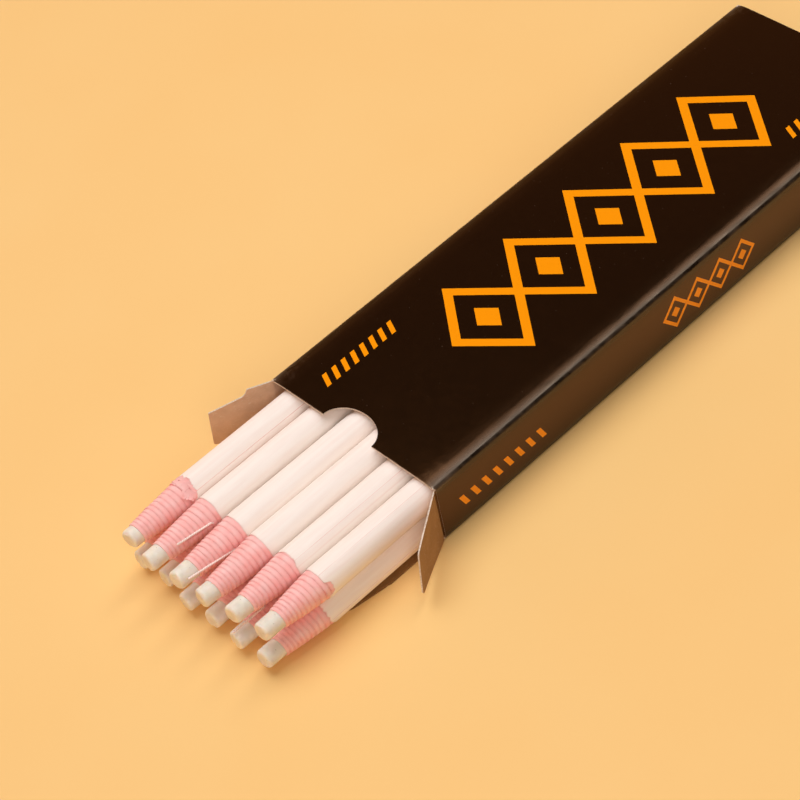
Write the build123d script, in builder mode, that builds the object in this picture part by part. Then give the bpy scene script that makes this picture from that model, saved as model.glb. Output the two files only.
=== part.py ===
"""Tuck end carton of peel-off china markers, open at one end with the markers drawn part way out."""

import os
from math import cos, radians, sin, sqrt, tan

from build123d import *

# The frame is in millimetres with +Z up. The origin is the centre of the carton's bottom face.
# The open end is at -Y, where the marker tips point, and the closed end is at +Y.

# Marker: a wax core, a wound paper wrap, a white label and a pull thread
MARKER_LENGTH = 161.0
MARKER_DIAMETER = 8.1
CORE_DIAMETER = 4.7
CORE_EDGE_ROUND = 0.6
GLUE_FILM = 0.015
LABEL_PAPER = 0.12
LABEL_LAP_PAPER = 0.08
LABEL_LAP_WIDTH = 2.4
WRAP_EDGE = 0.3
WRAP_STEP = 0.7
THREAD_DIAMETER = 0.45
THREAD_DEPTH = 0.4
THREAD_CLEAR = 0.03
THREAD_END_INSET = 1.0

# Upper and lower row, from the left marker to the right one: how far the tip stands out of the
# carton, the bare core at the tip, the length of the stepped cone, the angle of the label's lap and
# of the thread around the marker (0 faces +X, 90 faces up), and where the thread's tail ends
# behind the tip.
ROWS = {
    "upper": {
        "tip_out": (51.1, 52.7, 52.0, 51.7, 50.4, 49.4),
        "core_bare": (2.5, 4.1, 4.9, 3.7, 4.4, 5.0),
        "cone": (14.7, 15.0, 13.7, 14.4, 13.0, 12.0),
        "lap_angle": (4, 218, 236, 310, 22, 62),
        "thread_angle": (262, 345, 336, 228, 215, 240),
        "thread_tail": (7.5, 8.8, 3.6, 9.0, 7.0, 8.0),
    },
    "lower": {
        "tip_out": (50.3, 50.1, 51.6, 51.0, 51.4, 50.9),
        "core_bare": (4.0, 4.3, 4.6, 4.2, 4.5, 4.6),
        "cone": (14.2, 13.6, 14.4, 14.0, 13.8, 13.2),
        "lap_angle": (40, 140, 50, 130, 45, 350),
        "thread_angle": (150, 205, 225, 140, 128, 230),
        "thread_tail": (8.0, 7.2, 8.6, 7.6, 1.6, 9.2),
    },
}

# Carton board and the room it leaves around the markers
BOARD = 0.35
FOLD_RADIUS = 0.6
CARTON_LENGTH = 166.5
SIDE_GAPS = (2.2, 0.45, 0.8, 0.2, 0.6, 0.5, 0.35)
FLOOR_GAP = 0.1
ROW_GAP = 0.15
TONGUE_GAP = 0.1
TUCK_CLEAR = 0.2
NOTCH_X = -0.8
NOTCH_WIDTH = 16.0
NOTCH_DEPTH = 6.0
GLUE_FLAP_WIDTH = 10.0
GLUE_FLAP_END = 6.5
GLUE_FLAP_BEVEL = 4.0

# Creases: the largest angle each one folds through, and the air left there
FLAP_FOLD = 135.0
TONGUE_FOLD = 154.0
FOLD_CLEAR = 0.03
LID_CLEAR = 0.15

# Lids, tongues and dust flaps
LID_INSET = 0.7
TONGUE_LENGTH = 11.5
TONGUE_INSET = 0.45
TONGUE_TAPER = 2.0
TONGUE_ROUND = 3.0
FLAP_LENGTH = 18.8
FLAP_RAKE = 1.8
FLAP_TOP_TAPER = 1.6
FLAP_BOTTOM_TAPER = 3.4
FLAP_EDGE_CLEAR = 0.25
FLAP_ROUND = 1.0
STEPPED_FLAP_LENGTH = 17.0
STEPPED_FLAP_RAKE = 0.8
STEP_AT = 7.0
STEP_RUN = 2.0
STEP_DROP = 3.8
RIGHT_FLAP_OPEN = 31.0
LEFT_FLAP_OPEN = 26.0

# Worked out from the sizes above
COLUMNS = len(SIDE_GAPS) - 1
CORE_RADIUS = CORE_DIAMETER / 2
MARKER_RADIUS = MARKER_DIAMETER / 2
WRAP_BORE = CORE_RADIUS + GLUE_FILM
LABEL_BORE = MARKER_RADIUS - LABEL_PAPER
WRAP_RADIUS = LABEL_BORE - GLUE_FILM
THREAD_RADIUS = THREAD_DIAMETER / 2
THREAD_AT = WRAP_RADIUS - THREAD_DEPTH
INNER_WIDTH = sum(SIDE_GAPS) + COLUMNS * MARKER_DIAMETER
INNER_HEIGHT = FLOOR_GAP + 2 * MARKER_DIAMETER + ROW_GAP + TONGUE_GAP + BOARD + TUCK_CLEAR
CARTON_WIDTH = INNER_WIDTH + 2 * BOARD
CARTON_HEIGHT = INNER_HEIGHT + 2 * BOARD
MOUTH_Y = -CARTON_LENGTH / 2
REAR_Y = CARTON_LENGTH / 2
LOWER_Z = BOARD + FLOOR_GAP + MARKER_RADIUS
UPPER_Z = LOWER_Z + MARKER_DIAMETER + ROW_GAP
ROW_Z = {"upper": UPPER_Z, "lower": LOWER_Z}
CREASE_GAP = BOARD / 2 * tan(radians(FLAP_FOLD / 2)) + FOLD_CLEAR
TONGUE_CREASE_GAP = BOARD / 2 * tan(radians(TONGUE_FOLD / 2)) + FOLD_CLEAR
SIDE_SETBACK = BOARD + LID_CLEAR
SIDE_END = REAR_Y - SIDE_SETBACK
SIDE_X = (INNER_WIDTH + BOARD) / 2
HALF_BOARD = BOARD / 2
TONGUE_Z = CARTON_HEIGHT - BOARD - TUCK_CLEAR - HALF_BOARD
LID_LENGTH = TONGUE_Z - HALF_BOARD
TONGUE_EXIT_Z = HALF_BOARD + sqrt(LID_LENGTH**2 - TONGUE_LENGTH**2)
LID_HALF = CARTON_WIDTH / 2 - LID_INSET
TONGUE_HALF = INNER_WIDTH / 2 - TONGUE_INSET
FLAP_LOW = BOARD + FLAP_EDGE_CLEAR
FLAP_HIGH = CARTON_HEIGHT - BOARD - FLAP_EDGE_CLEAR
REAR_FLAP_HIGH = TONGUE_EXIT_Z - HALF_BOARD - FLAP_EDGE_CLEAR

os.makedirs("parts", exist_ok=True)


def column_x(column):
    """Middle of a marker, counted from the left wall through the gaps and markers before it."""
    return -INNER_WIDTH / 2 + sum(SIDE_GAPS[: column + 1]) + MARKER_DIAMETER * column + MARKER_RADIUS


def around(angle):
    """Direction across a marker at an angle from +X towards +Z."""
    return Vector(cos(radians(angle)), 0, sin(radians(angle)))


def across(tip, behind_tip, angle):
    """Plane square to a marker, behind its tip, with its first axis at an angle around it."""
    return Plane(origin=tip + Vector(0, behind_tip, 0), x_dir=around(angle), z_dir=(0, 1, 0))


def make_core(name, tip):
    """Cast wax stick with a worn, rounded writing edge."""
    with BuildPart() as core:
        with BuildSketch(across(tip, 0, 0)):
            Circle(CORE_RADIUS)
        extrude(amount=MARKER_LENGTH)
        fillet(core.edges().filter_by(GeomType.CIRCLE).sort_by(Axis.Y)[0], CORE_EDGE_ROUND)
    core.part.label = name
    export_step(core.part, f"parts/{name}.step")


def make_wrap(name, tip, core_bare, cone, thread_angle):
    """Paper strip wound on the core, peeled back to a stepped cone, with a tunnel for the thread."""
    steps = round(cone / WRAP_STEP)
    run = cone / steps
    rise = (WRAP_RADIUS - WRAP_BORE - WRAP_EDGE) / (steps - 1)
    profile = [(MARKER_LENGTH, WRAP_BORE), (core_bare, WRAP_BORE)]
    for step in range(steps):
        radius = WRAP_BORE + WRAP_EDGE + rise * step
        profile.append((core_bare + run * step, radius))
        profile.append((core_bare + run * (step + 1), radius))
    profile.append((MARKER_LENGTH, WRAP_RADIUS))
    with BuildPart() as wrap:
        with BuildSketch(Plane(origin=tip, x_dir=(0, 1, 0), z_dir=(0, 0, -1))):
            with BuildLine():
                Polyline(*profile, close=True)
            make_face()
        revolve(axis=Axis(tip, (0, 1, 0)))
        with BuildSketch(across(tip, 0, thread_angle)):
            with Locations((THREAD_AT, 0)):
                Circle(THREAD_RADIUS + THREAD_CLEAR)
        extrude(amount=MARKER_LENGTH, mode=Mode.SUBTRACT)
    wrap.part.label = name
    export_step(wrap.part, f"parts/{name}.step")


def make_label(name, tip, front, lap_angle):
    """White printed paper rolled once round the wrap and pasted along a lap."""
    length = MARKER_LENGTH - front
    lap_radius = MARKER_RADIUS + LABEL_LAP_PAPER
    lap_half = LABEL_LAP_WIDTH / 2
    with BuildPart() as label:
        with BuildSketch(across(tip, front, lap_angle)):
            Circle(MARKER_RADIUS)
            with BuildSketch(mode=Mode.PRIVATE) as lap:
                Circle(lap_radius)
                with Locations((lap_radius, 0)):
                    Rectangle(2 * MARKER_RADIUS, 2 * lap_half, mode=Mode.INTERSECT)
            add(lap.sketch)
            Circle(LABEL_BORE, mode=Mode.SUBTRACT)
        extrude(amount=length)
    label.part.label = name
    export_step(label.part, f"parts/{name}.step")


def make_thread(name, tip, tail, thread_angle):
    """Cotton thread along the wrap, with its tail free at the cone to pull the paper open."""
    with BuildPart() as thread:
        with BuildSketch(across(tip, tail, thread_angle)):
            with Locations((THREAD_AT, 0)):
                Circle(THREAD_RADIUS)
        extrude(amount=MARKER_LENGTH - tail - THREAD_END_INSET)
    thread.part.label = name
    export_step(thread.part, f"parts/{name}.step")


def make_flap(name, hinge, outward, along, outline, corner_round):
    """Board panel that folds on a crease: a flat outline out of the hinge, with a round bead on it."""
    low = min(v for u, v in outline if u == 0)
    high = max(v for u, v in outline if u == 0)
    face = Plane(origin=hinge, x_dir=outward, z_dir=Vector(outward).cross(Vector(along)))
    bead_start = Vector(hinge) + Vector(along) * low
    with BuildPart() as flap:
        with BuildSketch(face) as panel:
            with BuildLine():
                Polyline(*outline, close=True)
            make_face()
            if corner_round:
                fillet(panel.vertices().sort_by(Axis.X)[-2:], corner_round)
        extrude(amount=HALF_BOARD, both=True)
        with BuildSketch(Plane(origin=bead_start, x_dir=outward, z_dir=along)):
            Circle(HALF_BOARD)
        extrude(amount=high - low)
    flap.part.label = name
    export_step(flap.part, f"parts/{name}.step")


def lid_outline():
    """Plain panel as tall as the carton's mouth, short of the tongue's crease."""
    end = LID_LENGTH - TONGUE_CREASE_GAP
    return [(0, -LID_HALF), (end, -LID_HALF), (end, LID_HALF), (0, LID_HALF)]


def tongue_outline():
    """Tuck tongue that narrows towards its rounded front edge."""
    tip_half = TONGUE_HALF - TONGUE_TAPER
    return [(0, -TONGUE_HALF), (TONGUE_LENGTH, -tip_half), (TONGUE_LENGTH, tip_half), (0, TONGUE_HALF)]


def plain_flap_outline(high):
    """Dust flap with tapered edges and a raked end."""
    top_end = FLAP_LENGTH - FLAP_RAKE
    low_end = FLAP_LOW + FLAP_BOTTOM_TAPER
    return [(0, FLAP_LOW), (FLAP_LENGTH, low_end), (top_end, high - FLAP_TOP_TAPER), (0, high)]


def stepped_flap_outline():
    """Dust flap whose top edge steps down part way out."""
    top_end = STEPPED_FLAP_LENGTH - STEPPED_FLAP_RAKE
    low_end = FLAP_LOW + FLAP_BOTTOM_TAPER
    shoulder = FLAP_HIGH - STEP_DROP
    return [
        (0, FLAP_LOW),
        (STEPPED_FLAP_LENGTH, low_end),
        (top_end, shoulder),
        (STEP_AT + STEP_RUN, shoulder),
        (STEP_AT, FLAP_HIGH),
        (0, FLAP_HIGH),
    ]


# Carton sleeve: one board folded into a tube, with a thumb notch at the mouth
with BuildPart() as sleeve:
    with BuildSketch(Plane.XZ.offset(MOUTH_Y)):
        with Locations((0, CARTON_HEIGHT / 2)):
            RectangleRounded(CARTON_WIDTH, CARTON_HEIGHT, FOLD_RADIUS)
            RectangleRounded(INNER_WIDTH, INNER_HEIGHT, FOLD_RADIUS - BOARD, mode=Mode.SUBTRACT)
    extrude(amount=CARTON_LENGTH)
    side_ends = [
        (side * SIDE_X, end * (REAR_Y - SIDE_SETBACK / 2), CARTON_HEIGHT / 2)
        for side in (-1, 1)
        for end in (-1, 1)
    ]
    with Locations(*side_ends):
        Box(2 * BOARD, SIDE_SETBACK, INNER_HEIGHT, mode=Mode.SUBTRACT)
    with BuildSketch(Plane.XY.offset(CARTON_HEIGHT - 2 * BOARD)):
        with Locations((NOTCH_X, MOUTH_Y)):
            Ellipse(NOTCH_WIDTH / 2, NOTCH_DEPTH)
    extrude(amount=3 * BOARD, mode=Mode.SUBTRACT)
sleeve.part.label = "carton_sleeve"
export_step(sleeve.part, "parts/carton_sleeve.step")

# Glue flap: the strip that closes the tube, pasted inside the left wall
glue_top = CARTON_HEIGHT - FOLD_RADIUS
glue_end = REAR_Y - GLUE_FLAP_END
glue_low = glue_top - GLUE_FLAP_WIDTH
with BuildPart() as glue_flap:
    with BuildSketch(Plane.YZ.offset(-INNER_WIDTH / 2)):
        with BuildLine():
            Polyline(
                (-glue_end, glue_top),
                (glue_end, glue_top),
                (glue_end - GLUE_FLAP_BEVEL, glue_low),
                (GLUE_FLAP_BEVEL - glue_end, glue_low),
                close=True,
            )
        make_face()
    extrude(amount=BOARD)
glue_flap.part.label = "carton_glue_flap"
export_step(glue_flap.part, "parts/carton_glue_flap.step")

# Open end: the lid lies flat in front of the mouth and its tongue goes on from it
along_x = (1, 0, 0)
along_z = (0, 0, 1)
forward = (0, -1, 0)
front_crease = MOUTH_Y - CREASE_GAP
make_flap("front_lid", (0, front_crease, HALF_BOARD), forward, along_x, lid_outline(), 0)
front_tuck = (0, front_crease - LID_LENGTH, HALF_BOARD)
make_flap("front_tongue", front_tuck, forward, along_x, tongue_outline(), TONGUE_ROUND)

# Open end: the dust flaps stand swung out beside the markers
flap_crease = SIDE_END + CREASE_GAP
right_out = (sin(radians(RIGHT_FLAP_OPEN)), -cos(radians(RIGHT_FLAP_OPEN)), 0)
left_out = (-sin(radians(LEFT_FLAP_OPEN)), -cos(radians(LEFT_FLAP_OPEN)), 0)
right_hinge = (SIDE_X, -flap_crease, 0)
left_hinge = (-SIDE_X, -flap_crease, 0)
make_flap("front_flap_right", right_hinge, right_out, along_z, plain_flap_outline(FLAP_HIGH), FLAP_ROUND)
make_flap("front_flap_left", left_hinge, left_out, along_z, stepped_flap_outline(), FLAP_ROUND)

# Closed end: the lid stands over the folded dust flaps with its tongue tucked under the top.
# The flaps end below the height where the tongue draws out over them.
rear_crease = REAR_Y + CREASE_GAP
make_flap("rear_lid", (0, rear_crease, HALF_BOARD), along_z, along_x, lid_outline(), 0)
make_flap("rear_tongue", (0, rear_crease, TONGUE_Z), forward, along_x, tongue_outline(), TONGUE_ROUND)
for side, word in ((-1, "left"), (1, "right")):
    rear_hinge = (side * SIDE_X, flap_crease, 0)
    rear_outline = plain_flap_outline(REAR_FLAP_HIGH)
    make_flap(f"rear_flap_{word}", rear_hinge, (-side, 0, 0), along_z, rear_outline, FLAP_ROUND)

# Markers: two rows, each a core, its wrap, its label and its thread
for row, facts in ROWS.items():
    for column in range(COLUMNS):
        marker = f"{row}_{column + 1}"
        tip_at = Vector(column_x(column), MOUTH_Y - facts["tip_out"][column], ROW_Z[row])
        bare = facts["core_bare"][column]
        cone_length = facts["cone"][column]
        thread_side = facts["thread_angle"][column]
        make_core(f"{marker}_core", tip_at)
        make_wrap(f"{marker}_wrap", tip_at, bare, cone_length, thread_side)
        make_label(f"{marker}_label", tip_at, bare + cone_length, facts["lap_angle"][column])
        make_thread(f"{marker}_thread", tip_at, facts["thread_tail"][column], thread_side)
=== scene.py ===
import math
import random

import bmesh
import bpy
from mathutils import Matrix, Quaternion, Vector, noise


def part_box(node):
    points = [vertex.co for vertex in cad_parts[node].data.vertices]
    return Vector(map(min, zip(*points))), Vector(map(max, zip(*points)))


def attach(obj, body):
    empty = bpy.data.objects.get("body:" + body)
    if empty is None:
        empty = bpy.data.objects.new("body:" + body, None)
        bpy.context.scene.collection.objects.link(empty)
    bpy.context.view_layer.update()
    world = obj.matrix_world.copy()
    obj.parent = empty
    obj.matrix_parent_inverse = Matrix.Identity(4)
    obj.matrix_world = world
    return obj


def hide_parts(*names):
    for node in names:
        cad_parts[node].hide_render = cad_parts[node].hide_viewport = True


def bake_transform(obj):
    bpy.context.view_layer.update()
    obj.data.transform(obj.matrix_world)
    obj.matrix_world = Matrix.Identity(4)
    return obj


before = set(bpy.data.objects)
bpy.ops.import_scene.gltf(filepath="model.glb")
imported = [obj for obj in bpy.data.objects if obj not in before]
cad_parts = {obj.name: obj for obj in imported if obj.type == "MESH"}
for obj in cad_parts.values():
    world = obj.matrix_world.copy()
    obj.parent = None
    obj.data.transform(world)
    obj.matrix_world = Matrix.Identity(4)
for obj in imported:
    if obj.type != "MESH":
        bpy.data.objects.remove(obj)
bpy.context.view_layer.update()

# Carton sleeve: one blank of folding boxboard, printed black and varnished on the outside and left as
# bare pulp inside. It is die cut with a thumb notch at the mouth, folded on four creases and glued
# into a tube along the top left edge.
MM = 0.001
BOARD = 0.35
HALF_BOARD = BOARD / 2
FOLD_RADIUS = 0.8
SEAM_GAP = 0.06
SIDE_SETBACK = 0.5
NOTCH_X = -0.8
NOTCH_HALF_WIDTH = 8.0
NOTCH_DEPTH = 6.0
NOTCH_STEPS = 36
PANEL_CROWN = 0.1
PANEL_WAVE = 0.05
PANEL_WAVE_LENGTH = 28.0
SHOULDER_WIDTH = 3.6
SHOULDER_WOBBLE = 0.35
SHOULDER_WAVE = 7.0
SHOULDER_RISES = (0.16, 0.0, 0.16, 0.33)
FOLD_PINCH = 0.09
END_FLAT = 8.0
PANEL_NICK = 0.02
LEFT_PANEL = 0
BOTTOM_PANEL = 1
TOP_PANEL = 3
# Places in the noise, so that no two panels swell alike
WAVE_LANE = 7.0
SHOULDER_LANE = 9.3
SHOULDER_ROW = 2.0


def box_mm(node):
    """Lowest and highest corner of a CAD node, in millimetres."""
    low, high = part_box(node)
    return low / MM, high / MM


sleeve_high = box_mm("carton_sleeve")[1]
HALF_WIDTH = sleeve_high.x
HEIGHT = sleeve_high.z
REAR = sleeve_high.y
SIDE_END = REAR - SIDE_SETBACK
MID_RADIUS = FOLD_RADIUS - HALF_BOARD
FOLD_ARC = math.pi / 2 * MID_RADIUS
SIDE_RUN = HEIGHT - 2 * FOLD_RADIUS
WIDE_RUN = 2 * (HALF_WIDTH - FOLD_RADIUS)
PANEL_RUNS = (SIDE_RUN, WIDE_RUN, SIDE_RUN, WIDE_RUN)
PANEL_STARTS = [sum(PANEL_RUNS[:panel]) + FOLD_ARC * panel for panel in range(4)]
BLANK_WIDTH = sum(PANEL_RUNS) + 4 * FOLD_ARC
FOLD_CENTRES = [
    (-HALF_WIDTH + FOLD_RADIUS, FOLD_RADIUS),
    (HALF_WIDTH - FOLD_RADIUS, FOLD_RADIUS),
    (HALF_WIDTH - FOLD_RADIUS, HEIGHT - FOLD_RADIUS),
    (-HALF_WIDTH + FOLD_RADIUS, HEIGHT - FOLD_RADIUS),
]


def panel_of(u):
    """Panel number (left, bottom, right, top) at u along the blank, and how far u is along it."""
    panel = max(number for number in range(4) if u >= PANEL_STARTS[number] or number == 0)
    return panel, u - PANEL_STARTS[panel]


def nearness(distance, reach):
    """One at a line, falling to nothing at the end of its reach."""
    return max(1 - distance / reach, 0)


def panel_swell(panel, flat, v):
    """How far the board springs out between its folds. The bottom lies flat on the table."""
    if panel == BOTTOM_PANEL:
        return 0.0
    run = PANEL_RUNS[panel]
    middle = 1 - (2 * flat / run - 1) ** 2
    wave = noise.noise(Vector((flat, v, WAVE_LANE + panel)) / PANEL_WAVE_LENGTH)
    from_fold = min(flat, run - flat)
    lane = Vector((v / SHOULDER_WAVE, panel * SHOULDER_LANE, SHOULDER_ROW))
    uneven = 1 + SHOULDER_WOBBLE * noise.noise(lane)
    shoulder = 1 - nearness(from_fold, SHOULDER_WIDTH * uneven) ** 2
    swell = PANEL_CROWN * middle + PANEL_WAVE * wave * middle + SHOULDER_RISES[panel] * shoulder
    from_end = max(REAR - abs(v), 0)
    flat_end = 1.0 if panel == TOP_PANEL else 1 - nearness(from_end, END_FLAT) ** 2
    return swell * flat_end


def fold_sleeve(u, v, w):
    """Place of a point of the flat blank once it is folded: u across the panels, v along, w through."""
    panel, along = panel_of(u)
    run = PANEL_RUNS[panel]
    facing = math.pi + math.pi / 2 * panel
    bend = max(along - run, 0) / MID_RADIUS
    out = Vector((math.cos(facing + bend), 0, math.sin(facing + bend)))
    heading = Vector((-math.sin(facing), 0, math.cos(facing)))
    centre = Vector((FOLD_CENTRES[panel][0], v, FOLD_CENTRES[panel][1]))
    flat = min(along, run)
    lift = panel_swell(panel, flat, v) - FOLD_PINCH * math.sin(2 * bend)
    return centre + out * (MID_RADIUS + w + lift) + heading * (flat - run)


def top_u(x):
    """Place along the blank of a point x across the top panel."""
    return PANEL_STARTS[TOP_PANEL] + HALF_WIDTH - FOLD_RADIUS - x


def sleeve_outline():
    """Flat outline of the blank: side panels set back at both ends, and the notch in the top panel."""
    steps = [PANEL_STARTS[panel] - FOLD_ARC / 2 for panel in (1, 2, 3)]
    notch = [
        (
            top_u(NOTCH_X) - NOTCH_HALF_WIDTH * math.cos(math.pi * step / NOTCH_STEPS),
            -REAR + NOTCH_DEPTH * math.sin(math.pi * step / NOTCH_STEPS),
        )
        for step in range(NOTCH_STEPS + 1)
    ]
    front = [(SEAM_GAP, -SIDE_END)]
    ends = (SIDE_END, REAR, SIDE_END, REAR)
    for number, step in enumerate(steps):
        front.append((step - PANEL_NICK, -ends[number]))
        front.append((step + PANEL_NICK, -ends[number + 1]))
    rear = [(u, -v) for u, v in front] + [(BLANK_WIDTH, REAR)]
    return front + notch + [(BLANK_WIDTH, -REAR)] + rear[::-1]


def even_cuts(low, high, spacing):
    """Evenly spaced cuts strictly between two ends."""
    count = max(round((high - low) / spacing), 1)
    return [low + (high - low) * step / count for step in range(1, count)]


def linear(hex_colour):
    """Linear RGBA of an sRGB hex colour."""
    channels = [int(hex_colour[place : place + 2], 16) / 255 for place in (1, 3, 5)]
    return [c / 12.92 if c <= 0.04045 else ((c + 0.055) / 1.055) ** 2.4 for c in channels] + [1.0]


def add_node(tree, kind, inputs=None, **settings):
    """Adds one shader node. Inputs go by name or number, and are a constant, a socket or a node."""
    made = tree.nodes.new("ShaderNode" + kind)
    for name, value in settings.items():
        setattr(made, name, value)
    for socket, value in (inputs or {}).items():
        if isinstance(value, bpy.types.Node):
            value = value.outputs[0]
        if isinstance(value, bpy.types.NodeSocket):
            tree.links.new(value, made.inputs[socket])
        else:
            made.inputs[socket].default_value = value
    return made


def start_material(name):
    """New material with its node tree and its surface shader."""
    material = bpy.data.materials.new(name)
    material.use_nodes = True
    return material, material.node_tree, material.node_tree.nodes["Principled BSDF"]


def per_size(millimetres):
    """Texture scale whose features are this many millimetres across."""
    return 1 / (millimetres * MM)


def finish_material(tree, shader, colour, relief, strength, depth, settings):
    """Gives a shader its mixed colour, its fine relief in millimetres, and what is the same all over."""
    tree.links.new(colour.outputs[2], shader.inputs["Base Color"])
    height = {"Height": relief.outputs["Fac"], "Strength": strength, "Distance": depth * MM}
    tree.links.new(add_node(tree, "Bump", height).outputs[0], shader.inputs["Normal"])
    for socket, value in settings.items():
        shader.inputs[socket].default_value = value


# Varnished offset print: near black ink under a thin gloss varnish. The varnish mirrors the floor in the
# upright panels, fine board grain breaks the mirror, and rubbed folds turn dull grey.
BLACK_INK = "#0f0804"
ORANGE_INK = "#ff9c08"
RUBBED_INK = "#6f5c4c"
BARED_FIBRE = "#d8c9b8"
DUST = "#6d6054"
WARM_SHINE = "#ffa44c"
FOLD_SHINE = "#f4dcc2"
TOP_CHAIN = {"links": 5, "length": 21.0, "width": 27.0, "stroke": 2.3, "stone": 4.6, "middle": 4.0}
SIDE_CHAIN = {"links": 4, "length": 8.0, "width": 9.0, "stroke": 0.9, "stone": 1.7, "middle": 8.0}
TOP_DASHES = {"count": 8, "pitch": 3.0, "share": 0.45, "lean": 0.45, "half_height": 1.9}
SIDE_DASHES = {"count": 8, "pitch": 3.6, "share": 0.4, "lean": 0.45, "half_height": 1.8}
PRINT_DEPTH = 0.5

board_print, tree, shader = start_material("varnished_offset_print_on_boxboard")
place = add_node(tree, "TexCoord").outputs["Object"]
in_mm = add_node(tree, "VectorMath", {0: place, 1: [1 / MM] * 3}, operation="MULTIPLY")
axes = add_node(tree, "SeparateXYZ", {0: in_mm})
across, along, up = axes.outputs[0], axes.outputs[1], axes.outputs[2]


def draw_chain(tree, side, length, chain):
    """Mask of a chain of outlined lozenges with a small solid lozenge in each."""
    lean = chain["width"] / chain["length"]
    half_chain = chain["links"] * chain["length"] / 2
    start = chain["middle"] - half_chain
    narrow = 1 / math.sqrt(1 + lean * lean)
    from_start = add_node(tree, "Math", {0: length, 1: start}, operation="SUBTRACT")
    saw = add_node(tree, "Math", {0: from_start, 1: chain["length"] / 2}, operation="PINGPONG")
    from_middle = add_node(tree, "Math", {0: length, 1: chain["middle"]}, operation="SUBTRACT")
    out_long = add_node(tree, "Math", {0: from_middle}, operation="ABSOLUTE")
    past_end = add_node(tree, "Math", {0: out_long, 1: half_chain}, operation="SUBTRACT")
    past_end = add_node(tree, "Math", {0: past_end, 1: 0.0}, operation="MAXIMUM")
    pointed = add_node(tree, "Math", {0: past_end, 1: -2.0, 2: saw}, operation="MULTIPLY_ADD")
    away = add_node(tree, "Math", {0: side}, operation="ABSOLUTE")
    rise = add_node(tree, "Math", {0: pointed, 1: lean}, operation="MULTIPLY")
    gap = add_node(tree, "Math", {0: away, 1: rise}, operation="SUBTRACT")
    line = add_node(tree, "Math", {0: gap, 1: 0.0, 2: chain["stroke"] / 2 / narrow}, operation="COMPARE")
    inward = add_node(tree, "Math", {0: chain["width"] / 2, 1: rise}, operation="SUBTRACT")
    reach = add_node(tree, "Math", {0: away, 1: inward}, operation="ADD")
    stone = add_node(tree, "Math", {0: reach, 1: chain["stone"]}, operation="LESS_THAN")
    inked = add_node(tree, "Math", {0: line, 1: stone}, operation="MAXIMUM")
    inside = add_node(tree, "Math", {0: past_end, 1: chain["stroke"]}, operation="LESS_THAN")
    return add_node(tree, "Math", {0: inked, 1: inside}, operation="MULTIPLY")


def draw_dashes(tree, side, length, middle_side, middle_length, dashes):
    """Mask of a short row of whole slanted dashes."""
    half_row = dashes["count"] / 2
    start = middle_length + dashes["lean"] * middle_side - half_row * dashes["pitch"]
    slant = add_node(tree, "Math", {0: side, 1: dashes["lean"], 2: length}, operation="MULTIPLY_ADD")
    from_start = add_node(tree, "Math", {0: slant, 1: start}, operation="SUBTRACT")
    number = add_node(tree, "Math", {0: from_start, 1: dashes["pitch"]}, operation="DIVIDE")
    part = add_node(tree, "Math", {0: number}, operation="FRACT")
    dash = add_node(tree, "Math", {0: part, 1: dashes["share"]}, operation="LESS_THAN")
    tall = add_node(tree, "Math", {0: side, 1: middle_side, 2: dashes["half_height"]}, operation="COMPARE")
    long = add_node(tree, "Math", {0: number, 1: half_row, 2: half_row}, operation="COMPARE")
    row = add_node(tree, "Math", {0: dash, 1: tall}, operation="MULTIPLY")
    return add_node(tree, "Math", {0: row, 1: long}, operation="MULTIPLY")


TOP_PRINT_X = 16.0
TOP_PRINT_Y = 64.0
SIDE_PRINT_Z = 7.6
SIDE_PRINT_Y = -62.0
top_ink = draw_chain(tree, across, along, TOP_CHAIN)
for end in (-1, 1):
    dashes = draw_dashes(tree, across, along, end * TOP_PRINT_X, end * TOP_PRINT_Y, TOP_DASHES)
    top_ink = add_node(tree, "Math", {0: top_ink, 1: dashes}, operation="MAXIMUM")
on_top = add_node(tree, "Math", {0: up, 1: HEIGHT - PRINT_DEPTH}, operation="GREATER_THAN")
top_ink = add_node(tree, "Math", {0: top_ink, 1: on_top}, operation="MULTIPLY")
side_up = add_node(tree, "Math", {0: up, 1: HEIGHT / 2}, operation="SUBTRACT")
side_ink = draw_chain(tree, side_up, along, SIDE_CHAIN)
dashes = draw_dashes(tree, up, along, SIDE_PRINT_Z, SIDE_PRINT_Y, SIDE_DASHES)
side_ink = add_node(tree, "Math", {0: side_ink, 1: dashes}, operation="MAXIMUM")
out_wide = add_node(tree, "Math", {0: across}, operation="ABSOLUTE")
on_side = add_node(tree, "Math", {0: out_wide, 1: HALF_WIDTH - PRINT_DEPTH}, operation="GREATER_THAN")
side_ink = add_node(tree, "Math", {0: side_ink, 1: on_side}, operation="MULTIPLY")
in_length = add_node(tree, "Math", {0: along, 1: 0.0, 2: REAR}, operation="COMPARE")
ink = add_node(tree, "Math", {0: top_ink, 1: side_ink}, operation="MAXIMUM")
ink = add_node(tree, "Math", {0: ink, 1: in_length}, operation="MULTIPLY")
printed = add_node(tree, "Mix", {0: ink, 6: linear(BLACK_INK), 7: linear(ORANGE_INK)}, data_type="RGBA")
wear = add_node(tree, "Attribute", attribute_name="wear").outputs["Fac"]
smear = {"Vector": place, "Scale": per_size(4.0), "Detail": 6.0, "Roughness": 0.6, "Distortion": 1.6}
smudge = add_node(tree, "TexNoise", smear)
grit = add_node(tree, "TexNoise", {"Vector": place, "Scale": per_size(0.5), "Detail": 3.0})
rub = add_node(tree, "Math", {0: wear, 1: smudge.outputs["Fac"]}, operation="MULTIPLY")
dull = add_node(tree, "MapRange", {0: rub, 1: 0.18, 2: 0.62, 3: 0.0, 4: 0.62})
rubbed = add_node(tree, "Mix", {0: dull, 6: printed.outputs[2], 7: linear(RUBBED_INK)}, data_type="RGBA")
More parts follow.
